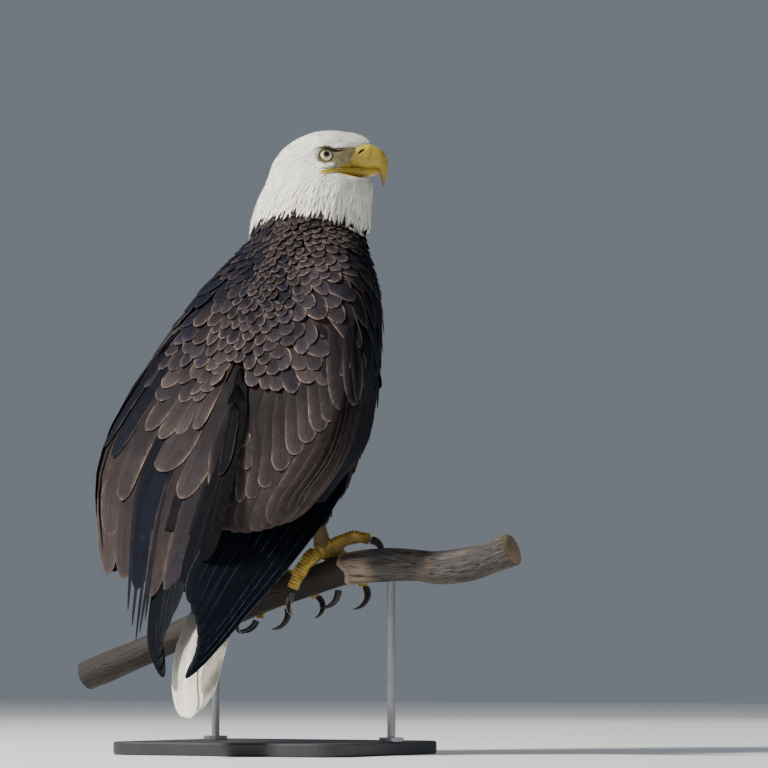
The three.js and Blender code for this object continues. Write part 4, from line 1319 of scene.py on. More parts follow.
# ---- bill ----
def sweep(path, size, side, rings, sides, shape=2.0, facing=None, ends=(0.02, 0.02)):
    """A closed body along a path in millimetres. Each size is [half width, half depth behind, half depth ahead].

    Returns its corners, faces, and each corner's place along and around it."""
    t = np.concatenate([[0], np.linspace(ends[0], 1 - ends[1], rings), [1]]) if ends else np.linspace(0, 1, rings)
    centre = through(np.array(path, float), t)
    half = through(np.array(size, float), t)
    round_off = np.ones(len(t))
    if ends:
        round_off[0] = round_off[-1] = 0.02
    step = 1e-3
    tangent = unit(
        through(np.array(path, float), np.clip(t + step, 0, 1)) - through(np.array(path, float), np.clip(t - step, 0, 1))
    )
    if facing is not None:
        tangent = np.broadcast_to(np.array(facing, float), tangent.shape)
    side = np.broadcast_to(np.array(side, float), tangent.shape)
    across = unit(side - tangent * (side * tangent).sum(axis=1, keepdims=True))
    behind = np.cross(tangent, across)
    turn = np.arange(sides) / sides * 2 * np.pi
    cos, sin = np.cos(turn), np.sin(turn)
    fit = (np.abs(cos) ** shape + np.abs(sin) ** shape) ** (-1 / shape)
    depth = np.where(sin > 0, half[:, 1:2], half[:, 2:3])
    x = half[:, 0:1] * (cos * fit) * round_off[:, None]
    y = depth * (sin * fit) * round_off[:, None]
    points = centre[:, None] + across[:, None] * x[..., None] + behind[:, None] * y[..., None]
    count = len(t)
    index = np.arange(count * sides).reshape(count, sides)
    nxt = np.roll(index, -1, axis=1)
    faces = np.stack([index[:-1], nxt[:-1], nxt[1:], index[1:]], -1).reshape(-1, 4).tolist()
    faces += [index[0, ::-1].tolist(), index[-1].tolist()]
    return points.reshape(-1, 3), faces, np.repeat(t, sides), np.tile(turn, count)


BILL_UPPER = [
    (20, -0.5, 15.2, 18.5), (37, 1.3, 16.3, 19.5), (50, 0.8, 17.3, 16.6), (63.5, -3.2, 14.0, 11.8), (71.0, -12.0, 7.2, 7.2),
    (71.9, -19, 4.8, 4.9), (72.1, -27, 2.9, 3.0), (71.4, -36.2, 0.6, 0.8),
]
BILL_LOWER = [
    (-7, -17, -24.6, 36.8), (8, -16, -25.8, 35.8), (20, -15, -26.0, 30.8), (34, -13, -25.4, 20.5), (50, -12, -24.5, 12.6),
    (66, -13.5, -20.8, 6.0),
]


def bill_material():
    material, tree, shader = new_material("bill_horn")
    place = object_place(tree)
    parts = node(tree, "ShaderNodeAttribute", attribute_name="along").outputs["Fac"]
    grain = use_group(tree, GRAIN, {"Place": place, "Fine": 260.0, "Broad": 55.0})
    horn = blend(tree, spread(tree, grain["Broad drift"], 0.35, 0.68), linear(180, 150, 48), linear(202, 174, 76))
    horn = blend(tree, spread(tree, parts, 0.36, 0.64, 0, 0.75), horn, linear(118, 98, 62))
    cere = blend(tree, spread(tree, grain["Fine grain"], 0.35, 0.7), linear(192, 166, 58), linear(210, 188, 90))
    colour = blend(tree, spread(tree, parts, -0.03, 0.03), cere, horn)
    # painted shade: the nostril is coloured dark brown for the shade inside it
    hole = node(tree, "ShaderNodeAttribute", attribute_name="hole").outputs["Fac"]
    colour = blend(tree, spread(tree, hole, 0.15, 0.7), colour, linear(40, 26, 14))
    tree.links.new(colour, shader.inputs["Base Color"])
    rough = sums(tree, "ADD", spread(tree, parts, -0.01, 0.03, 0.44, 0.3), spread(tree, grain["Fine grain"], 0.3, 0.7, 0, 0.1))
    tree.links.new(rough, shader.inputs["Roughness"])
    shader.inputs["Subsurface Weight"].default_value = 0.0
    bump(tree, shader, grain["Fine grain"], 0.12, 0.0005)
    return material


BILL_HORN = bill_material()


def make_bill():
    path = [on_head(a, z) for a, z, _, _ in BILL_UPPER]
    size = [(w, h, h) for _, _, h, w in BILL_UPPER]
    points, faces, along, turn = sweep(path, size, ASIDE, 190, 190, shape=2.15)
    centre = through(np.array(path, float), along)
    ahead, above, aside = head_measures(points)
    # the cere stands a little proud of the horn, with a crease where they meet
    edge = 0.345 + 0.012 * np.sin(turn * 2)
    proud = 0.4 * (1 - ramp(along, edge - 0.03, edge + 0.01)) - 0.12 * np.exp(-(((along - edge - 0.012) / 0.012) ** 2))
    # the cutting edge waves: a shallow notch behind the hook
    under = ramp(-(points - centre)[:, 2], 5, 13) * ramp(along, 0.3, 0.5) * (1 - ramp(along, 0.62, 0.8))
    points = points + unit(points - centre) * proud[:, None] + UP * (0.7 * np.sin((along - 0.38) * 17) * under)[:, None]
    # nostrils: a slit that climbs forwards
    slit_x, slit_z = ahead - 44.0, above - 6.0
    lean = math.radians(37)
    long_way, short_way = slit_x * math.cos(lean) + slit_z * math.sin(lean), -slit_x * math.sin(lean) + slit_z * math.cos(lean)
    reach = np.sqrt((long_way / 5.6) ** 2 + ((short_way + 0.04 * long_way**2 - 0.5) / 1.6) ** 2)
    hole = (1 - ramp(reach, 0.6, 1.15)) * (np.abs(aside) > 5)
    lip = np.exp(-(((reach - 1.4) / 0.3) ** 2)) * (np.abs(aside) > 5) * 0.3
    points = points + ASIDE * (np.sign(aside) * (lip - 3.6 * hole))[:, None]
    upper = mesh_object("bill_upper_horn", points * MM, faces)
    for label, values in (("along", along - edge), ("hole", hole)):
        layer = upper.data.attributes.new(label, "FLOAT", "POINT")
        layer.data.foreach_set("value", values)
    outward(upper)
    upper.data.materials.append(BILL_HORN)
    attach(upper, "root")
    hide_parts("bill_upper")
    path = [on_head(a, (t + b) / 2) for a, t, b, _ in BILL_LOWER]
    size = [(w, (t - b) / 2, (t - b) / 2) for _, t, b, w in BILL_LOWER]
    points, faces, along, turn = sweep(path, size, ASIDE, 90, 80, shape=2.3, facing=AHEAD)
    lower = mesh_object("bill_lower_horn", points * MM, faces)
    layer = lower.data.attributes.new("along", "FLOAT", "POINT")
    layer.data.foreach_set("value", along - 0.7)
    outward(lower)
    lower.data.materials.append(BILL_HORN)
    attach(lower, "root")
    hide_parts("bill_lower")
    return upper, lower


bill_parts = make_bill()

# ---- perch ----
BRANCH = [
    (300, -126), (268, -115), (211, -95), (126, -62), (48, -32), (-19, -13), (-91, 6), (-143, 10), (-186, 9),
    (-216, 6), (-258, 10), (-293, 18), (-318, 27),
]


def make_branch():
    path = [(x, 27 - 52, z + 222) for x, z in BRANCH]
    size = [[20.5 + 0.9 * math.sin(2.1 * k)] * 3 for k in range(len(BRANCH))]
    points, faces, along, turn = sweep(path, size, (0, 1, 0), 330, 96, ends=(0.0015, 0.0015))
    centre = through(np.array(path, float), along)
    out = unit(points - centre)
    length = 640 * along
    lift = np.empty(len(points))
    for i, (far, around) in enumerate(zip(length, turn)):
        ring = Vector((math.cos(around) * 1.9, math.sin(around) * 1.9, far / 60))
        crack = noise.noise(Vector((math.cos(around) * 5.5, math.sin(around) * 5.5, far / 70 + 7)))
        split = max(0.0, 1 - abs(crack) * 9)
        fibre = noise.noise(Vector((math.cos(around) * 13, math.sin(around) * 13, far / 26)))
        lift[i] = 1.0 * noise.noise(ring) - 1.1 * split + 0.28 * fibre - 0.5
    # the outer wood ends in a rounded lip, and the branch beyond it is slimmer and darker
    lip_at = centre[:, 0] + 86 + 5 * np.sin(turn * 2 + 0.6) + 2 * np.sin(turn * 5)
    slim = ramp(lip_at, -1.5, 1.5)
    lift += 0.7 * np.exp(-(((lip_at + 3) / 3.0) ** 2)) - 1.7 * slim
    points = points + out * lift[:, None]
    branch = mesh_object("branch_wood", points * MM, faces)
    layer = branch.data.attributes.new("crack", "FLOAT", "POINT")
    layer.data.foreach_set("value", lift)
    layer = branch.data.attributes.new("inner", "FLOAT", "POINT")
    # painted light: a narrow pale band along the lip, as its lit edge, and a broad pale patch beside it, over the
    # shadow that the bird casts there
    pale = 0.9 * np.exp(-(((lip_at + 2.2) / 2.4) ** 2)) + 0.65 * np.exp(-(((lip_at + 22) / 24) ** 2)) * (lip_at < 0)
    layer.data.foreach_set("value", slim * (1 - 1.1 * ramp(lip_at, 100, 190)) - pale)
    layer = branch.data.attributes.new("sawn", "FLOAT", "POINT")
    layer.data.foreach_set("value", ((along < 1e-6) | (along > 1 - 1e-6)).astype(float))
    grain = np.stack([length * MM, 0.0205 * np.cos(turn), 0.0205 * np.sin(turn)], -1)
    layer = branch.data.attributes.new("grain", "FLOAT_VECTOR", "POINT")
    layer.data.foreach_set("vector", grain.ravel())
    outward(branch)
    material, tree, shader = new_material("weathered_wood")
    place = node(tree, "ShaderNodeAttribute", attribute_name="grain").outputs["Vector"]
    stretched = node(tree, "ShaderNodeMapping", {"Vector": place, "Scale": (0.07, 1.0, 1.0)}).outputs[0]
    fibre = node(tree, "ShaderNodeTexNoise", {"Vector": stretched, "Scale": 620.0, "Detail": 6.0}).outputs[0]
    patch = node(tree, "ShaderNodeTexNoise", {"Vector": stretched, "Scale": 90.0, "Detail": 3.0}).outputs[0]
    cloud = node(tree, "ShaderNodeTexNoise", {"Vector": place, "Scale": 26.0, "Detail": 3.0}).outputs[0]
    crack = node(tree, "ShaderNodeAttribute", attribute_name="crack").outputs["Fac"]
    inner = node(tree, "ShaderNodeAttribute", attribute_name="inner").outputs["Fac"]
    colour = blend(tree, spread(tree, fibre, 0.32, 0.68), linear(50, 47, 46), linear(98, 93, 89))
    colour = blend(tree, spread(tree, patch, 0.46, 0.62, 0, 0.8), colour, linear(58, 52, 49))
    colour = blend(tree, spread(tree, cloud, 0.46, 0.68, 0, 0.6), colour, linear(112, 92, 70))
    colour = blend(tree, spread(tree, inner, 0.1, 0.9, 0, 0.55), colour, linear(52, 46, 42))
    # painted light: pale where the inner value is below zero, along the lip and beside it
    colour = blend(tree, spread(tree, inner, -0.1, -0.75, 0, 0.8), colour, linear(176, 156, 134))
    # painted shade: darker where the surface lies lowest, in the bark's deepest grooves and over the slimmer wood
    # beyond the lip
    colour = blend(tree, spread(tree, crack, -1.5, -0.6, 0.9, 0.0), colour, linear(38, 32, 29))
    sawn = node(tree, "ShaderNodeAttribute", attribute_name="sawn").outputs["Fac"]
    ring = spread(tree, sums(tree, "SINE", sums(tree, "MULTIPLY", sawn, 80.0)), -1.0, 1.0)
    wood = blend(tree, ring, linear(104, 86, 66), linear(140, 120, 94))
    colour = blend(tree, spread(tree, sawn, 0.02, 0.06), colour, wood)
    tree.links.new(colour, shader.inputs["Base Color"])
    tree.links.new(spread(tree, fibre, 0.3, 0.7, 0.7, 0.92), shader.inputs["Roughness"])
    bump(tree, shader, fibre, 0.5, 0.0012)
    branch.data.materials.append(material)
    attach(branch, "root")
    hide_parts("perch_branch")


make_branch()


def dress(name, material):
    mesh = nodes[name].data
    mesh.materials.clear()
    mesh.materials.append(material)


BASE_PAINT = coated("base_paint", linear(56, 56, 58), 0.5)
ROD_STEEL = coated("rod_steel", linear(168, 168, 170), 0.34, metallic=1.0, fine=900.0)
dress("stand_base", BASE_PAINT)
for rod in ("stand_rod_1", "stand_rod_2"):
    dress(rod, ROD_STEEL)

# ---- eyes, lids and the corners of the mouth ----
EYE_RADIUS, EYE_SPREAD, GAZE_FORWARD = 10.5, 27.0, math.radians(7)
PUPIL, IRIS = 3.7, 8.1


def eye_frame(sign):
    """The middle of an eye, the way it looks, and the directions ahead and up across it."""
    gaze = unit(ASIDE * sign * math.cos(GAZE_FORWARD) + AHEAD * math.sin(GAZE_FORWARD))
    ahead_across = unit(AHEAD - gaze * (AHEAD @ gaze))
    return on_head(-1.2, 0, sign * EYE_SPREAD), gaze, ahead_across


def eye_material():
    material, tree, shader = new_material("eye_wet")
    place = node(
        tree, "ShaderNodeSeparateXYZ", {0: node(tree, "ShaderNodeAttribute", attribute_name="across").outputs["Vector"]}
    ).outputs
    far = sums(tree, "SQRT", sums(tree, "ADD", sums(tree, "POWER", place[0], 2.0), sums(tree, "POWER", place[1], 2.0)))
    around = sums(tree, "ARCTAN2", place[1], place[0])
    ray_place = node(
        tree,
        "ShaderNodeCombineXYZ",
        {
            0: sums(tree, "MULTIPLY", sums(tree, "COSINE", around), 9.0),
            1: sums(tree, "MULTIPLY", sums(tree, "SINE", around), 9.0),
            2: sums(tree, "MULTIPLY", far, 0.25),
        },
    ).outputs[0]
    ray = node(tree, "ShaderNodeTexNoise", {"Vector": ray_place, "Scale": 1.6, "Detail": 4.0}).outputs[0]
    iris = blend(tree, spread(tree, ray, 0.35, 0.7), linear(222, 206, 150), linear(240, 230, 190))
    iris = blend(tree, spread(tree, far, PUPIL, PUPIL + 1.6, 0.55, 0.0), iris, linear(150, 128, 70))
    iris = blend(tree, spread(tree, far, IRIS - 1.3, IRIS - 0.1, 0.0, 0.7), iris, linear(120, 104, 62))
    colour = blend(tree, spread(tree, far, PUPIL - 0.12, PUPIL + 0.18, 1.0, 0.0), iris, linear(6, 6, 7))
    # dark beyond the iris, where the lids meet the eye: painted shade, together with the lids' dark margin
    colour = blend(tree, spread(tree, far, IRIS - 0.15, IRIS + 0.35), colour, linear(26, 20, 16))
    tree.links.new(colour, shader.inputs["Base Color"])
    tree.links.new(spread(tree, ray, 0.3, 0.7, 0.1, 0.16), shader.inputs["Roughness"])
    shader.inputs["Coat Weight"].default_value = 1.0
    shader.inputs["Coat Roughness"].default_value = 0.02
    bump(tree, shader, ray, 0.05, 0.0002)
    return material


def lid_material():
    material, tree, shader = new_material("lid_skin")
    rim = node(tree, "ShaderNodeAttribute", attribute_name="rim").outputs["Fac"]
    grain = use_group(tree, GRAIN, {"Place": object_place(tree), "Fine": 1500.0, "Broad": 260.0})
    pale = blend(tree, spread(tree, grain["Broad drift"], 0.35, 0.65), linear(176, 156, 96), linear(222, 208, 160))
    pale = blend(tree, spread(tree, grain["Fine grain"], 0.52, 0.66, 0.0, 0.55), pale, linear(92, 80, 62))
    # the inner margin is near-black: the lids' dark edge, widened as painted shade where they meet the eye
    colour = blend(tree, spread(tree, rim, 0.16, 0.3), linear(24, 20, 18), pale)
    tree.links.new(colour, shader.inputs["Base Color"])
    tree.links.new(spread(tree, grain["Fine grain"], 0.3, 0.7, 0.45, 0.65), shader.inputs["Roughness"])
    bump(tree, shader, grain["Fine grain"], 0.4, 0.0004)
    return material


EYE_WET = eye_material()
LID_SKIN = lid_material()


def make_eye(side, sign):
    middle, gaze, front = eye_frame(sign)
    up = np.cross(gaze, front) * (1 if np.cross(gaze, front)[2] > 0 else -1)
    polar = np.concatenate([np.radians(np.linspace(0, 60, 31)), np.radians(np.linspace(66, 176, 14))])
    turns = np.linspace(0, 2 * np.pi, 48, endpoint=False)
    bulge = 0.9 * np.clip(1 - (polar / math.radians(50)) ** 2, 0, 1)
    radius = (EYE_RADIUS + bulge)[:, None]
    x = radius * np.sin(polar)[:, None] * np.cos(turns)
    y = radius * np.sin(polar)[:, None] * np.sin(turns)
    z = radius * np.cos(polar)[:, None] * np.ones(len(turns))
    points = middle + x[..., None] * front + y[..., None] * up + z[..., None] * gaze
    index = np.arange(x.size).reshape(x.shape)
    nxt = np.roll(index, -1, axis=1)
    faces = np.stack([index[1:-1], index[2:], nxt[2:], nxt[1:-1]], -1).reshape(-1, 4).tolist()
    faces += [[int(index[0, 0]), int(a), int(b)] for a, b in zip(index[1], nxt[1])]
    faces.append(index[-1].tolist())
    ball = mesh_object(f"eyeball_{side}", points.reshape(-1, 3) * MM, faces)
    layer = ball.data.attributes.new("across", "FLOAT_VECTOR", "POINT")
    layer.data.foreach_set("vector", np.stack([x, y, z], -1).astype(float).ravel())
    outward(ball)
    ball.data.materials.append(EYE_WET)
    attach(ball, "root")
    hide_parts(f"eye_{side}")
    # the lids: a rim that follows the eyeball, then folds away into the hollow
    turns = np.linspace(0, 2 * np.pi, 96, endpoint=False)
    top = np.clip(np.sin(turns), 0, 1) ** 1.5
    opening = 8.2 - 2.4 * top + 0.6 * np.clip(np.cos(turns - math.radians(-28)), 0, 1) ** 6
    steps = [(-0.2, -1.2), (0.0, 0.2), (0.6, 0.75), (1.3, 0.7), (2.0, 0.4), (2.5, 0.0), (3.0, -1.0), (3.6, -2.6), (4.4, -5.4), (3.6, -6.4), (1.0, -4.4)]
    rims = [0.0, 0.0, 0.12, 0.36, 0.6, 0.75, 0.9, 1, 1, 1, 0]
    rows = []
    for k, (out, rise) in enumerate(steps):
        far = opening + out
        base = np.sqrt(np.maximum(EYE_RADIUS**2 - np.minimum(opening, 9.5) ** 2, 1)) + 0.75
        ripple = 0.22 * np.sin(turns * 17 + k * 2.1) * (1 if 3 <= k <= 6 else 0)
        hood = 1.1 * top * (1 if 1 <= k <= 7 else 0)
        rows.append(middle + (far * np.cos(turns))[:, None] * front + (far * np.sin(turns))[:, None] * up + (base + rise + ripple + hood)[:, None] * gaze)
    points = np.stack(rows, axis=1)
    index = np.arange(len(turns) * len(steps)).reshape(len(turns), len(steps))
    across, along = np.roll(index, -1, axis=1), np.roll(index, -1, axis=0)
    faces = np.stack([index, across, np.roll(across, -1, axis=0), along], -1).reshape(-1, 4)
    lids = mesh_object(f"eyelids_{side}", points.reshape(-1, 3) * MM, faces)
    layer = lids.data.attributes.new("rim", "FLOAT", "POINT")
    layer.data.foreach_set("value", np.tile(rims, len(turns)))
    outward(lids)
    lids.data.materials.append(LID_SKIN)
    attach(lids, "root")


for side, sign in (("right", 1), ("left", -1)):
    make_eye(side, sign)


def surface_of(objects):
    places, faces = [], []
    for made in objects:
        made.data.calc_loop_triangles()
        start = sum(len(p) for p in places)
        places.append(corners(made.data) * 1000)
        faces += [[start + i for i in t.vertices] for t in made.data.loop_triangles]
    return BVHTree.FromPolygons([tuple(p) for p in np.concatenate(places)], faces)


def make_lips(upper, lower):
    """The yellow rims at the corners of the mouth, over the dark line between them."""
    face = surface_of([skin, upper, lower])
    lines = {
        "upper": [(-10, -24.6, 0.8), (-4, -23.2, 1.4), (4, -21.4, 1.6), (13, -19.2, 1.6), (24, -17.0, 1.5), (34, -15.6, 1.2), (44, -15.6, 0.5)],
        "lower": [(-9.5, -26.4, 0.8), (-4, -25.8, 1.4), (4, -24.8, 1.6), (13, -23.0, 1.6), (24, -20.8, 1.4), (34, -19.4, 1.2), (46, -18.8, 0.5)],
    }
    points, faces, tones = [], [], []
    for sign in (1, -1):
        for line in lines.values():
            path = []
            for ahead, above, _ in line:
                start = on_head(ahead, above, sign * 80)
                hit = face.ray_cast(Vector(start), Vector(-ASIDE * sign))[0]
                path.append(np.array(hit) + ASIDE * sign * 1.6 * ramp(-ahead, -24, -2) if hit else on_head(ahead, above, sign * 20))
            size = [(r * 0.9, r, r) for *_, r in line]
            made, quads, along, _ = sweep(path, size, UP, 40, 14, ends=(0.01, 0.01))
            start = sum(len(p) for p in points)
            wave = 0.16 * np.sin(along * 55)
            points.append(made + ASIDE * (sign * wave)[:, None])
            faces += [[start + i for i in quad] for quad in quads]
            tones.append(along)
    lips = outward(mesh_object("mouth_corners", np.concatenate(points) * MM, faces))
    lips.data.materials.append(LIP_SKIN)
    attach(lips, "root")


def make_brow_edges():
    """The bare edge of the brow, which hangs over the top of each eye: dark skin, made near-black as painted shade
    under the brow.
    """
    points, faces = [], []
    for side, sign in (("right", 1), ("left", -1)):
        face = surface_of([skin] + [scene.objects[f"{part}_{side}"] for part in ("eyeball", "eyelids")])
        path, size = [], []
        for ahead, above, radius in BROW_EDGE:
            hit = face.ray_cast(Vector(on_head(ahead, above, sign * 80)), Vector(-ASIDE * sign))[0]
            path.append(np.array(hit) + ASIDE * sign * 0.5)
            size.append((radius, radius * 1.1, radius * 1.1))
        made, quads, *_ = sweep(path, size, UP, 50, 16, ends=(0.01, 0.01))
        faces += [[len(made) * len(points) + i for i in quad] for quad in quads]
        points.append(made)
    edges = outward(mesh_object("brow_edges", np.concatenate(points) * MM, faces))
    edges.data.materials.append(coated("brow_skin_and_shade", linear(40, 34, 30), 0.6, fine=1400.0))
    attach(edges, "root")


# How far ahead and above, and how thick, in millimetres.
BROW_EDGE = [(-13, 6.4, 0.4), (-9, 7.8, 0.9), (-3, 8.4, 1.5), (3, 7.2, 2.1), (9, 5.2, 2.1), (14, 5.2, 1.3), (20, 6.4, 0.8), (26, 7.6, 0.3)]
make_brow_edges()

# ---- bristles ----
def make_bristle_tree():
    """Short tapered bristles over a patch, each along the patch's own lie."""
    tree = bpy.data.node_groups.new("bristles", "GeometryNodeTree")
    sockets = [
        ("Geometry", "NodeSocketGeometry"), ("Spacing", VALUE), ("Length", VALUE), ("Thickness", VALUE),
        ("Seed", "NodeSocketInt"), ("Material", "NodeSocketMaterial"),
    ]
    for label, kind in sockets:
        tree.interface.new_socket(label, in_out="INPUT", socket_type=kind)
    tree.interface.new_socket("Geometry", in_out="OUTPUT", socket_type="NodeSocketGeometry")
    given = tree.nodes.new("NodeGroupInput").outputs
    roots = node(
        tree,
        "GeometryNodeDistributePointsOnFaces",
        {"Mesh": given["Geometry"], "Distance Min": given["Spacing"], "Density Max": 2e6, "Seed": given["Seed"]},
        distribute_method="POISSON",
    ).outputs["Points"]
    hair = node(
        tree,
        "GeometryNodeMeshCone",
        {"Vertices": 5, "Side Segments": 2, "Radius Top": 0.00003, "Radius Bottom": given["Thickness"], "Depth": given["Length"]},
    ).outputs["Mesh"]
    lie = node(tree, "GeometryNodeInputNamedAttribute", {"Name": "lie"}, data_type="FLOAT_VECTOR").outputs["Attribute"]
    stray = node(
        tree, "FunctionNodeRandomValue", {0: (-0.3, -0.3, -0.3), 1: (0.3, 0.3, 0.3), "Seed": given["Seed"]}, data_type="FLOAT_VECTOR"
    ).outputs[0]
    way = node(tree, "ShaderNodeVectorMath", {0: lie, 1: stray}, operation="ADD").outputs[0]
    turn = node(tree, "FunctionNodeAlignRotationToVector", {"Vector": way}, axis="Z").outputs["Rotation"]
    size = node(tree, "FunctionNodeRandomValue", {2: 0.55, 3: 1.25, "Seed": given["Seed"]}).outputs[1]
    placed = node(tree, "GeometryNodeInstanceOnPoints", {"Points": roots, "Instance": hair, "Rotation": turn, "Scale": size})
    real = node(tree, "GeometryNodeRealizeInstances", {"Geometry": placed.outputs[0]}).outputs[0]
    done = node(tree, "GeometryNodeSetMaterial", {"Geometry": real, "Material": given["Material"]}).outputs[0]
    tree.links.new(done, tree.nodes.new("NodeGroupOutput").inputs[0])
    return tree


def make_bristles():
    """Sparse dark bristles over the bare skin between the eye and the bill."""
    ahead, above, aside = head_measures(face_middle)
    zone = (ahead > 14) & (ahead < 37) & (above > -10) & (above < 7) & (np.abs(aside) > 13) & owned("head")
    used, faces = np.unique(form.faces[zone], return_inverse=True)
    place = form.place[used]
    _, out = form.snap(place)
    patch = mesh_object("lore_bristles", (place - out * 0.8) * MM, faces.reshape(-1, 3))
    layer = patch.data.attributes.new("lie", "FLOAT_VECTOR", "POINT")
    layer.data.foreach_set("vector", unit(AHEAD * 0.75 + UP * 0.3 + out * 0.55).ravel())
    tree = make_bristle_tree()
    modifier = patch.modifiers.new("bristles", "NODES")
    modifier.node_group = tree
    values = {"Spacing": 0.0029, "Length": 0.0042, "Thickness": 0.0001, "Seed": 7, "Material": BRISTLE_HORN}
    for item in tree.interface.items_tree:
        if item.in_out == "INPUT" and item.name in values:
            modifier[item.identifier] = values[item.name]
    applied(patch)
    place = corners(patch.data) * 1000
    count = len(place) // 15
    at = unwrapped(place.reshape(count, -1, 3)[:, 0])
    loops = np.array([loop.vertex_index for loop in patch.data.loops])
    bake = patch.data.uv_layers.new(name="OFBake")
    spot = at[loops // (len(place) // count)] + 0.003 * np.stack([loops % 5 / 5, (loops // 5) % 3 / 3], -1)
    bake.data.foreach_set("uv", spot.ravel())
    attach(patch, "root")
    print("bristles", count)


BRISTLE_HORN = coated("bristle_horn", linear(52, 45, 38), 0.5, fine=2000.0)
make_bristles()

LIP_SKIN = coated("lip_skin", linear(198, 172, 74), 0.45, fine=1200.0)
make_lips(*bill_parts)

# ---- feet ----
BRANCH_PATH = np.array([(x, 27 - 52, z + 222) for x, z in BRANCH], float)
BRANCH_RADIUS = 20.5
FEET = {
    "right": (-52, {"inner": (-55, 16, 112, 36, 50), "middle": (-96, 22, 126, 44, 60),
                    "outer": (-114, 8, 16, 38, 0), "hind": (-30, -24, -104, 46, 0)}),
    "left": (34, {"inner": (-24, 20, 114, 38, 58), "middle": (18, 16, 116, 40, 50),
                  "outer": (62, 18, 118, 34, 40), "hind": (48, -24, -104, 46, 0)}),
}
TOE_STEPS, HOOK = 5, 1.7


def branch_at(x):
    """The branch's axis at a given X."""
    low, high = 0.0, 1.0
    for _ in range(30):
        middle = (low + high) / 2
        if through(BRANCH_PATH, np.array([middle]))[0, 0] > x:
            low = middle
        else:
            high = middle
    return through(BRANCH_PATH, np.array([low]))[0]


def lies_along(toe):
    return abs(toe[2] - toe[1]) < 30


def toe_radii(name):
    return (10, 7.5) if name == "hind" else (9.6, 7)


def toe_line(foot, name, toe):
    """The centre line of a toe, from under the foot to its last joint."""
    end_x, first, last = toe[:3]
    thick, thin = toe_radii(name)
    line = []
    for k in range(TOE_STEPS + 1):
        t = k / TOE_STEPS
        centre = branch_at(foot + (end_x - foot) * (0.1 + 0.9 * t))
        lift = 7 * math.sin(math.pi * t) + 6 * t if lies_along(toe) else 7 * t**3
        turn = math.radians(first + (last - first) * t)
        far = BRANCH_RADIUS + 1.2 + thick + (thin - thick) * t + lift
        line.append(centre + np.array([0, -far * math.sin(turn), far * math.cos(turn)]))
    return np.array(line)


def claw_line(line, toe):
    """The centre line of its claw, which hooks in towards the branch."""
    end = line[-1]
    heading = unit(end - line[-2])
    inward = branch_at(end[0]) - end
    inward = unit(inward - heading * (inward @ heading))
    turn = math.radians(toe[4])
    inward = inward * math.cos(turn) + np.cross(heading, inward) * math.sin(turn)
    radius = toe[3] / HOOK
    turns = np.arange(TOE_STEPS + 1) / TOE_STEPS * HOOK
    return end + heading * (radius * np.sin(turns) + 3)[:, None] + inward * (radius * (1 - np.cos(turns)))[:, None]


def toe_side(toe):
    return (0, 1, 0) if lies_along(toe) else (1, 0, 0)


def leg_material():
    material, tree, shader = new_material("leg_skin")
    place = object_place(tree)
    cell = node(tree, "ShaderNodeTexVoronoi", {"Vector": place, "Scale": 520.0}, feature="DISTANCE_TO_EDGE").outputs[0]
    grain = use_group(tree, GRAIN, {"Place": place, "Fine": 800.0, "Broad": 75.0})
    colour = blend(tree, spread(tree, grain["Broad drift"], 0.36, 0.66), linear(160, 126, 42), linear(214, 182, 80))
    colour = blend(tree, spread(tree, cell, 0.0, 0.12, 0.6, 0.0), colour, linear(92, 66, 28))
    # painted shade: darker on the undersides of the toes and shin and in the dips between the scutes
    under = node(tree, "ShaderNodeAttribute", attribute_name="scute").outputs["Fac"]
    colour = blend(tree, spread(tree, under, 0.1, 0.62, 0.6, 0.0), colour, linear(84, 64, 28))
    # painted shade: the shin is darker, as in the shade under the belly
    shin = node(tree, "ShaderNodeAttribute", attribute_name="shin").outputs["Fac"]
    colour = blend(tree, sums(tree, "MULTIPLY", shin, 0.75), colour, linear(82, 70, 40))
    tree.links.new(colour, shader.inputs["Base Color"])
    tree.links.new(spread(tree, grain["Fine grain"], 0.3, 0.7, 0.42, 0.62), shader.inputs["Roughness"])
    bump(tree, shader, spread(tree, cell, 0.0, 0.14), 0.5, 0.0007)
    return material


LEG_SKIN = leg_material()


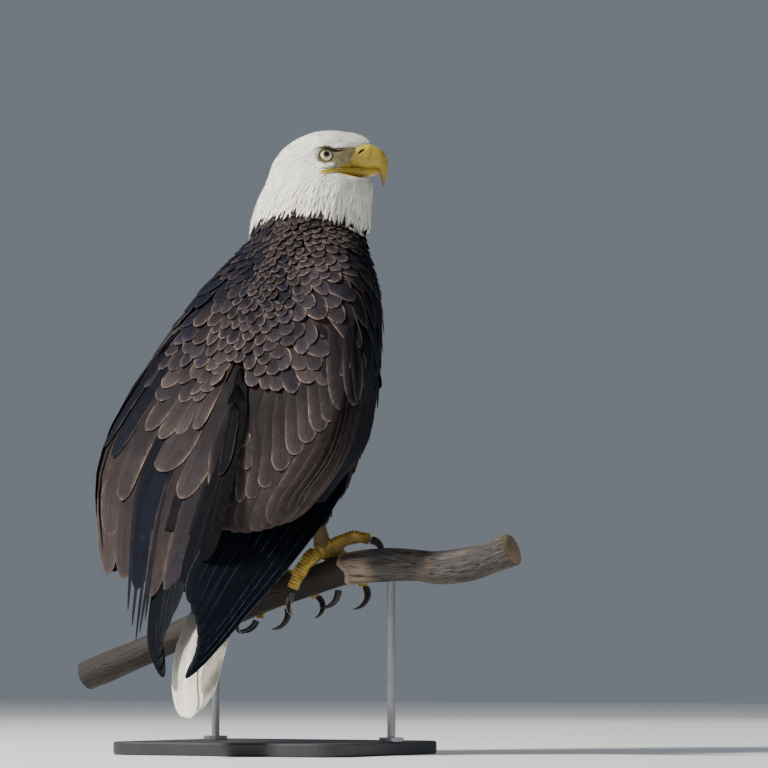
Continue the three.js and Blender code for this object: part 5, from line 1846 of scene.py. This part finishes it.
def make_legs():
    """Both legs below the feathers, grown together with their toes, knobbed underneath and banded with scutes on top."""
    points, faces, lines = [], [], []

    def add(path, size, side, rings=26, sides=20):
        made, quads, *_ = sweep(path, size, side, rings, sides, ends=(0.03, 0.03))
        start = sum(len(p) for p in points)
        points.append(made)
        faces.extend([[start + i for i in quad] for quad in quads])

    for foot, toes in FEET.values():
        ground = branch_at(foot)
        sole = np.array([foot, -27.0, ground[2] + BRANCH_RADIUS + 13])
        heel = np.array([foot * 1.04, -1.0, sole[2] + 56])
        shin = [heel, (heel + sole) / 2, sole, sole + [0, -3, -9]]
        add(shin, [(9, 10, 9), (8.4, 9.4, 8.4), (12, 11, 12), (12.5, 11.5, 12.5)], (1, 0, 0), 24, 24)
        lines.append((np.array(shin), np.array([0, -1.0, 0]), 5.2))
        for name, toe in toes.items():
            line = toe_line(foot, name, toe)
            thick, thin = toe_radii(name)
            radii = [thick + (thin - thick) * k / TOE_STEPS for k in range(TOE_STEPS + 1)]
            # knuckles: the toe swells at its joints and pads
            radii = [r * (1.0, 1.06, 0.92, 1.07, 0.92, 1.05)[k] for k, r in enumerate(radii)]
            add(line, [(r, r * 0.97, r * 0.97) for r in radii], toe_side(toe))
            lines.append((line, None, 3.9))
    shape = mesh_object("legs_raw", np.concatenate(points) * MM, faces)
    remesh = shape.modifiers.new("remesh", "REMESH")
    remesh.mode, remesh.voxel_size = "VOXEL", 0.00105
    smooth = shape.modifiers.new("smooth", "SMOOTH")
    smooth.factor, smooth.iterations = 0.5, 4
    applied(shape)
    mesh = shape.data
    place = corners(mesh) * 1000
    normals = np.empty(len(place) * 3)
    mesh.vertices.foreach_get("normal", normals)
    normals = normals.reshape(-1, 3)
    best, lift, topness, shin = np.full(len(place), 1e9), *np.zeros((3, len(place)))
    for line, front, pitch in lines:
        t = np.linspace(0, 1, 90)
        path = through(line, t)
        length = np.concatenate([[0], np.cumsum(np.linalg.norm(np.diff(path, axis=0), axis=1))])
        gap = np.linalg.norm(place[:, None] - path[None], axis=2)
        near = gap.argmin(axis=1)
        # refine how far along the line each corner is
        tangent = unit(np.gradient(path, axis=0))
        along = length[near] + ((place - path[near]) * tangent[near]).sum(axis=1)
        if front is None:
            x_centre = np.array([branch_at(p[0]) for p in path])
            top = unit(path - x_centre)[near]
        else:
            top = np.broadcast_to(front, place.shape)
        facing = (normals * top).sum(axis=1)
        scute = np.abs(np.sin(np.pi * along / pitch)) ** 0.55
        here = gap.min(axis=1) < best
        best = np.where(here, gap.min(axis=1), best)
        share = ramp(facing, -0.5, 0.3)
        shin = np.where(here, float(front is not None), shin)
        lift = np.where(here, (scute - 0.7) * 1.9 * share, lift)
        topness = np.where(here, 0.5 * share + 0.5 * scute * share, topness)
    for i, (point, normal) in enumerate(zip(place, normals)):
        knob = noise.noise(Vector(point * 0.42)) * 0.55 + noise.noise(Vector(point * 0.9)) * 0.3
        lift[i] += knob * (1 - topness[i] * 0.7)
    mesh.vertices.foreach_set("co", ((place + normals * lift[:, None]) * MM).ravel())
    mesh.update()
    for label, values in (("scute", topness), ("shin", shin)):
        layer = mesh.attributes.new(label, "FLOAT", "POINT")
        layer.data.foreach_set("value", values)
    layer = mesh.attributes.new("markings", "FLOAT_COLOR", "POINT")
    layer.data.foreach_set("color", np.tile(linear(190, 150, 64), len(place)))
    mesh.polygons.foreach_set("use_smooth", [True] * len(mesh.polygons))
    mesh.materials.append(LEG_SKIN)
    return shape


def make_claws():
    for side, (foot, toes) in FEET.items():
        for name, toe in toes.items():
            line = claw_line(toe_line(foot, name, toe), toe)
            radii = [5.4, 5.1, 4.3, 3.2, 2.0, 0.5]
            points, faces, along, turn = sweep(line, [(r * 0.85, r, r) for r in radii], toe_side(toe), 40, 28, shape=1.9)
            centre = through(line, along)
            # a shallow groove along each flank
            groove = 1 - 0.07 * np.cos(turn) ** 8
            points = centre + (points - centre) * groove[:, None]
            claw = outward(mesh_object(f"talon_{side}_{name}", points * MM, faces))
            claw.data.materials.append(CLAW_HORN)
            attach(claw, "root")
            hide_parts(f"claw_{side}_{name}")


legs = make_legs()
skin.data.materials.append(LEG_SKIN)
with bpy.context.temp_override(active_object=skin, object=skin, selected_objects=[skin, legs], selected_editable_objects=[skin, legs]):
    bpy.ops.object.join()
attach(skin, "root")
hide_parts(*FLESH)
make_claws()

# ---- floor and surroundings ----
def set_surroundings():
    world = bpy.data.worlds.new("studio")
    world.use_nodes = True
    world.node_tree.nodes["Background"].inputs[0].default_value = (0.46, 0.52, 0.6, 1)
    world.node_tree.nodes["Background"].inputs[1].default_value = 0.36
    scene.world = world


set_surroundings()
mesh_object("floor", [(-6, -6, 0), (6, -6, 0), (6, 6, 0), (-6, 6, 0)], [(0, 1, 2, 3)], smooth=False)
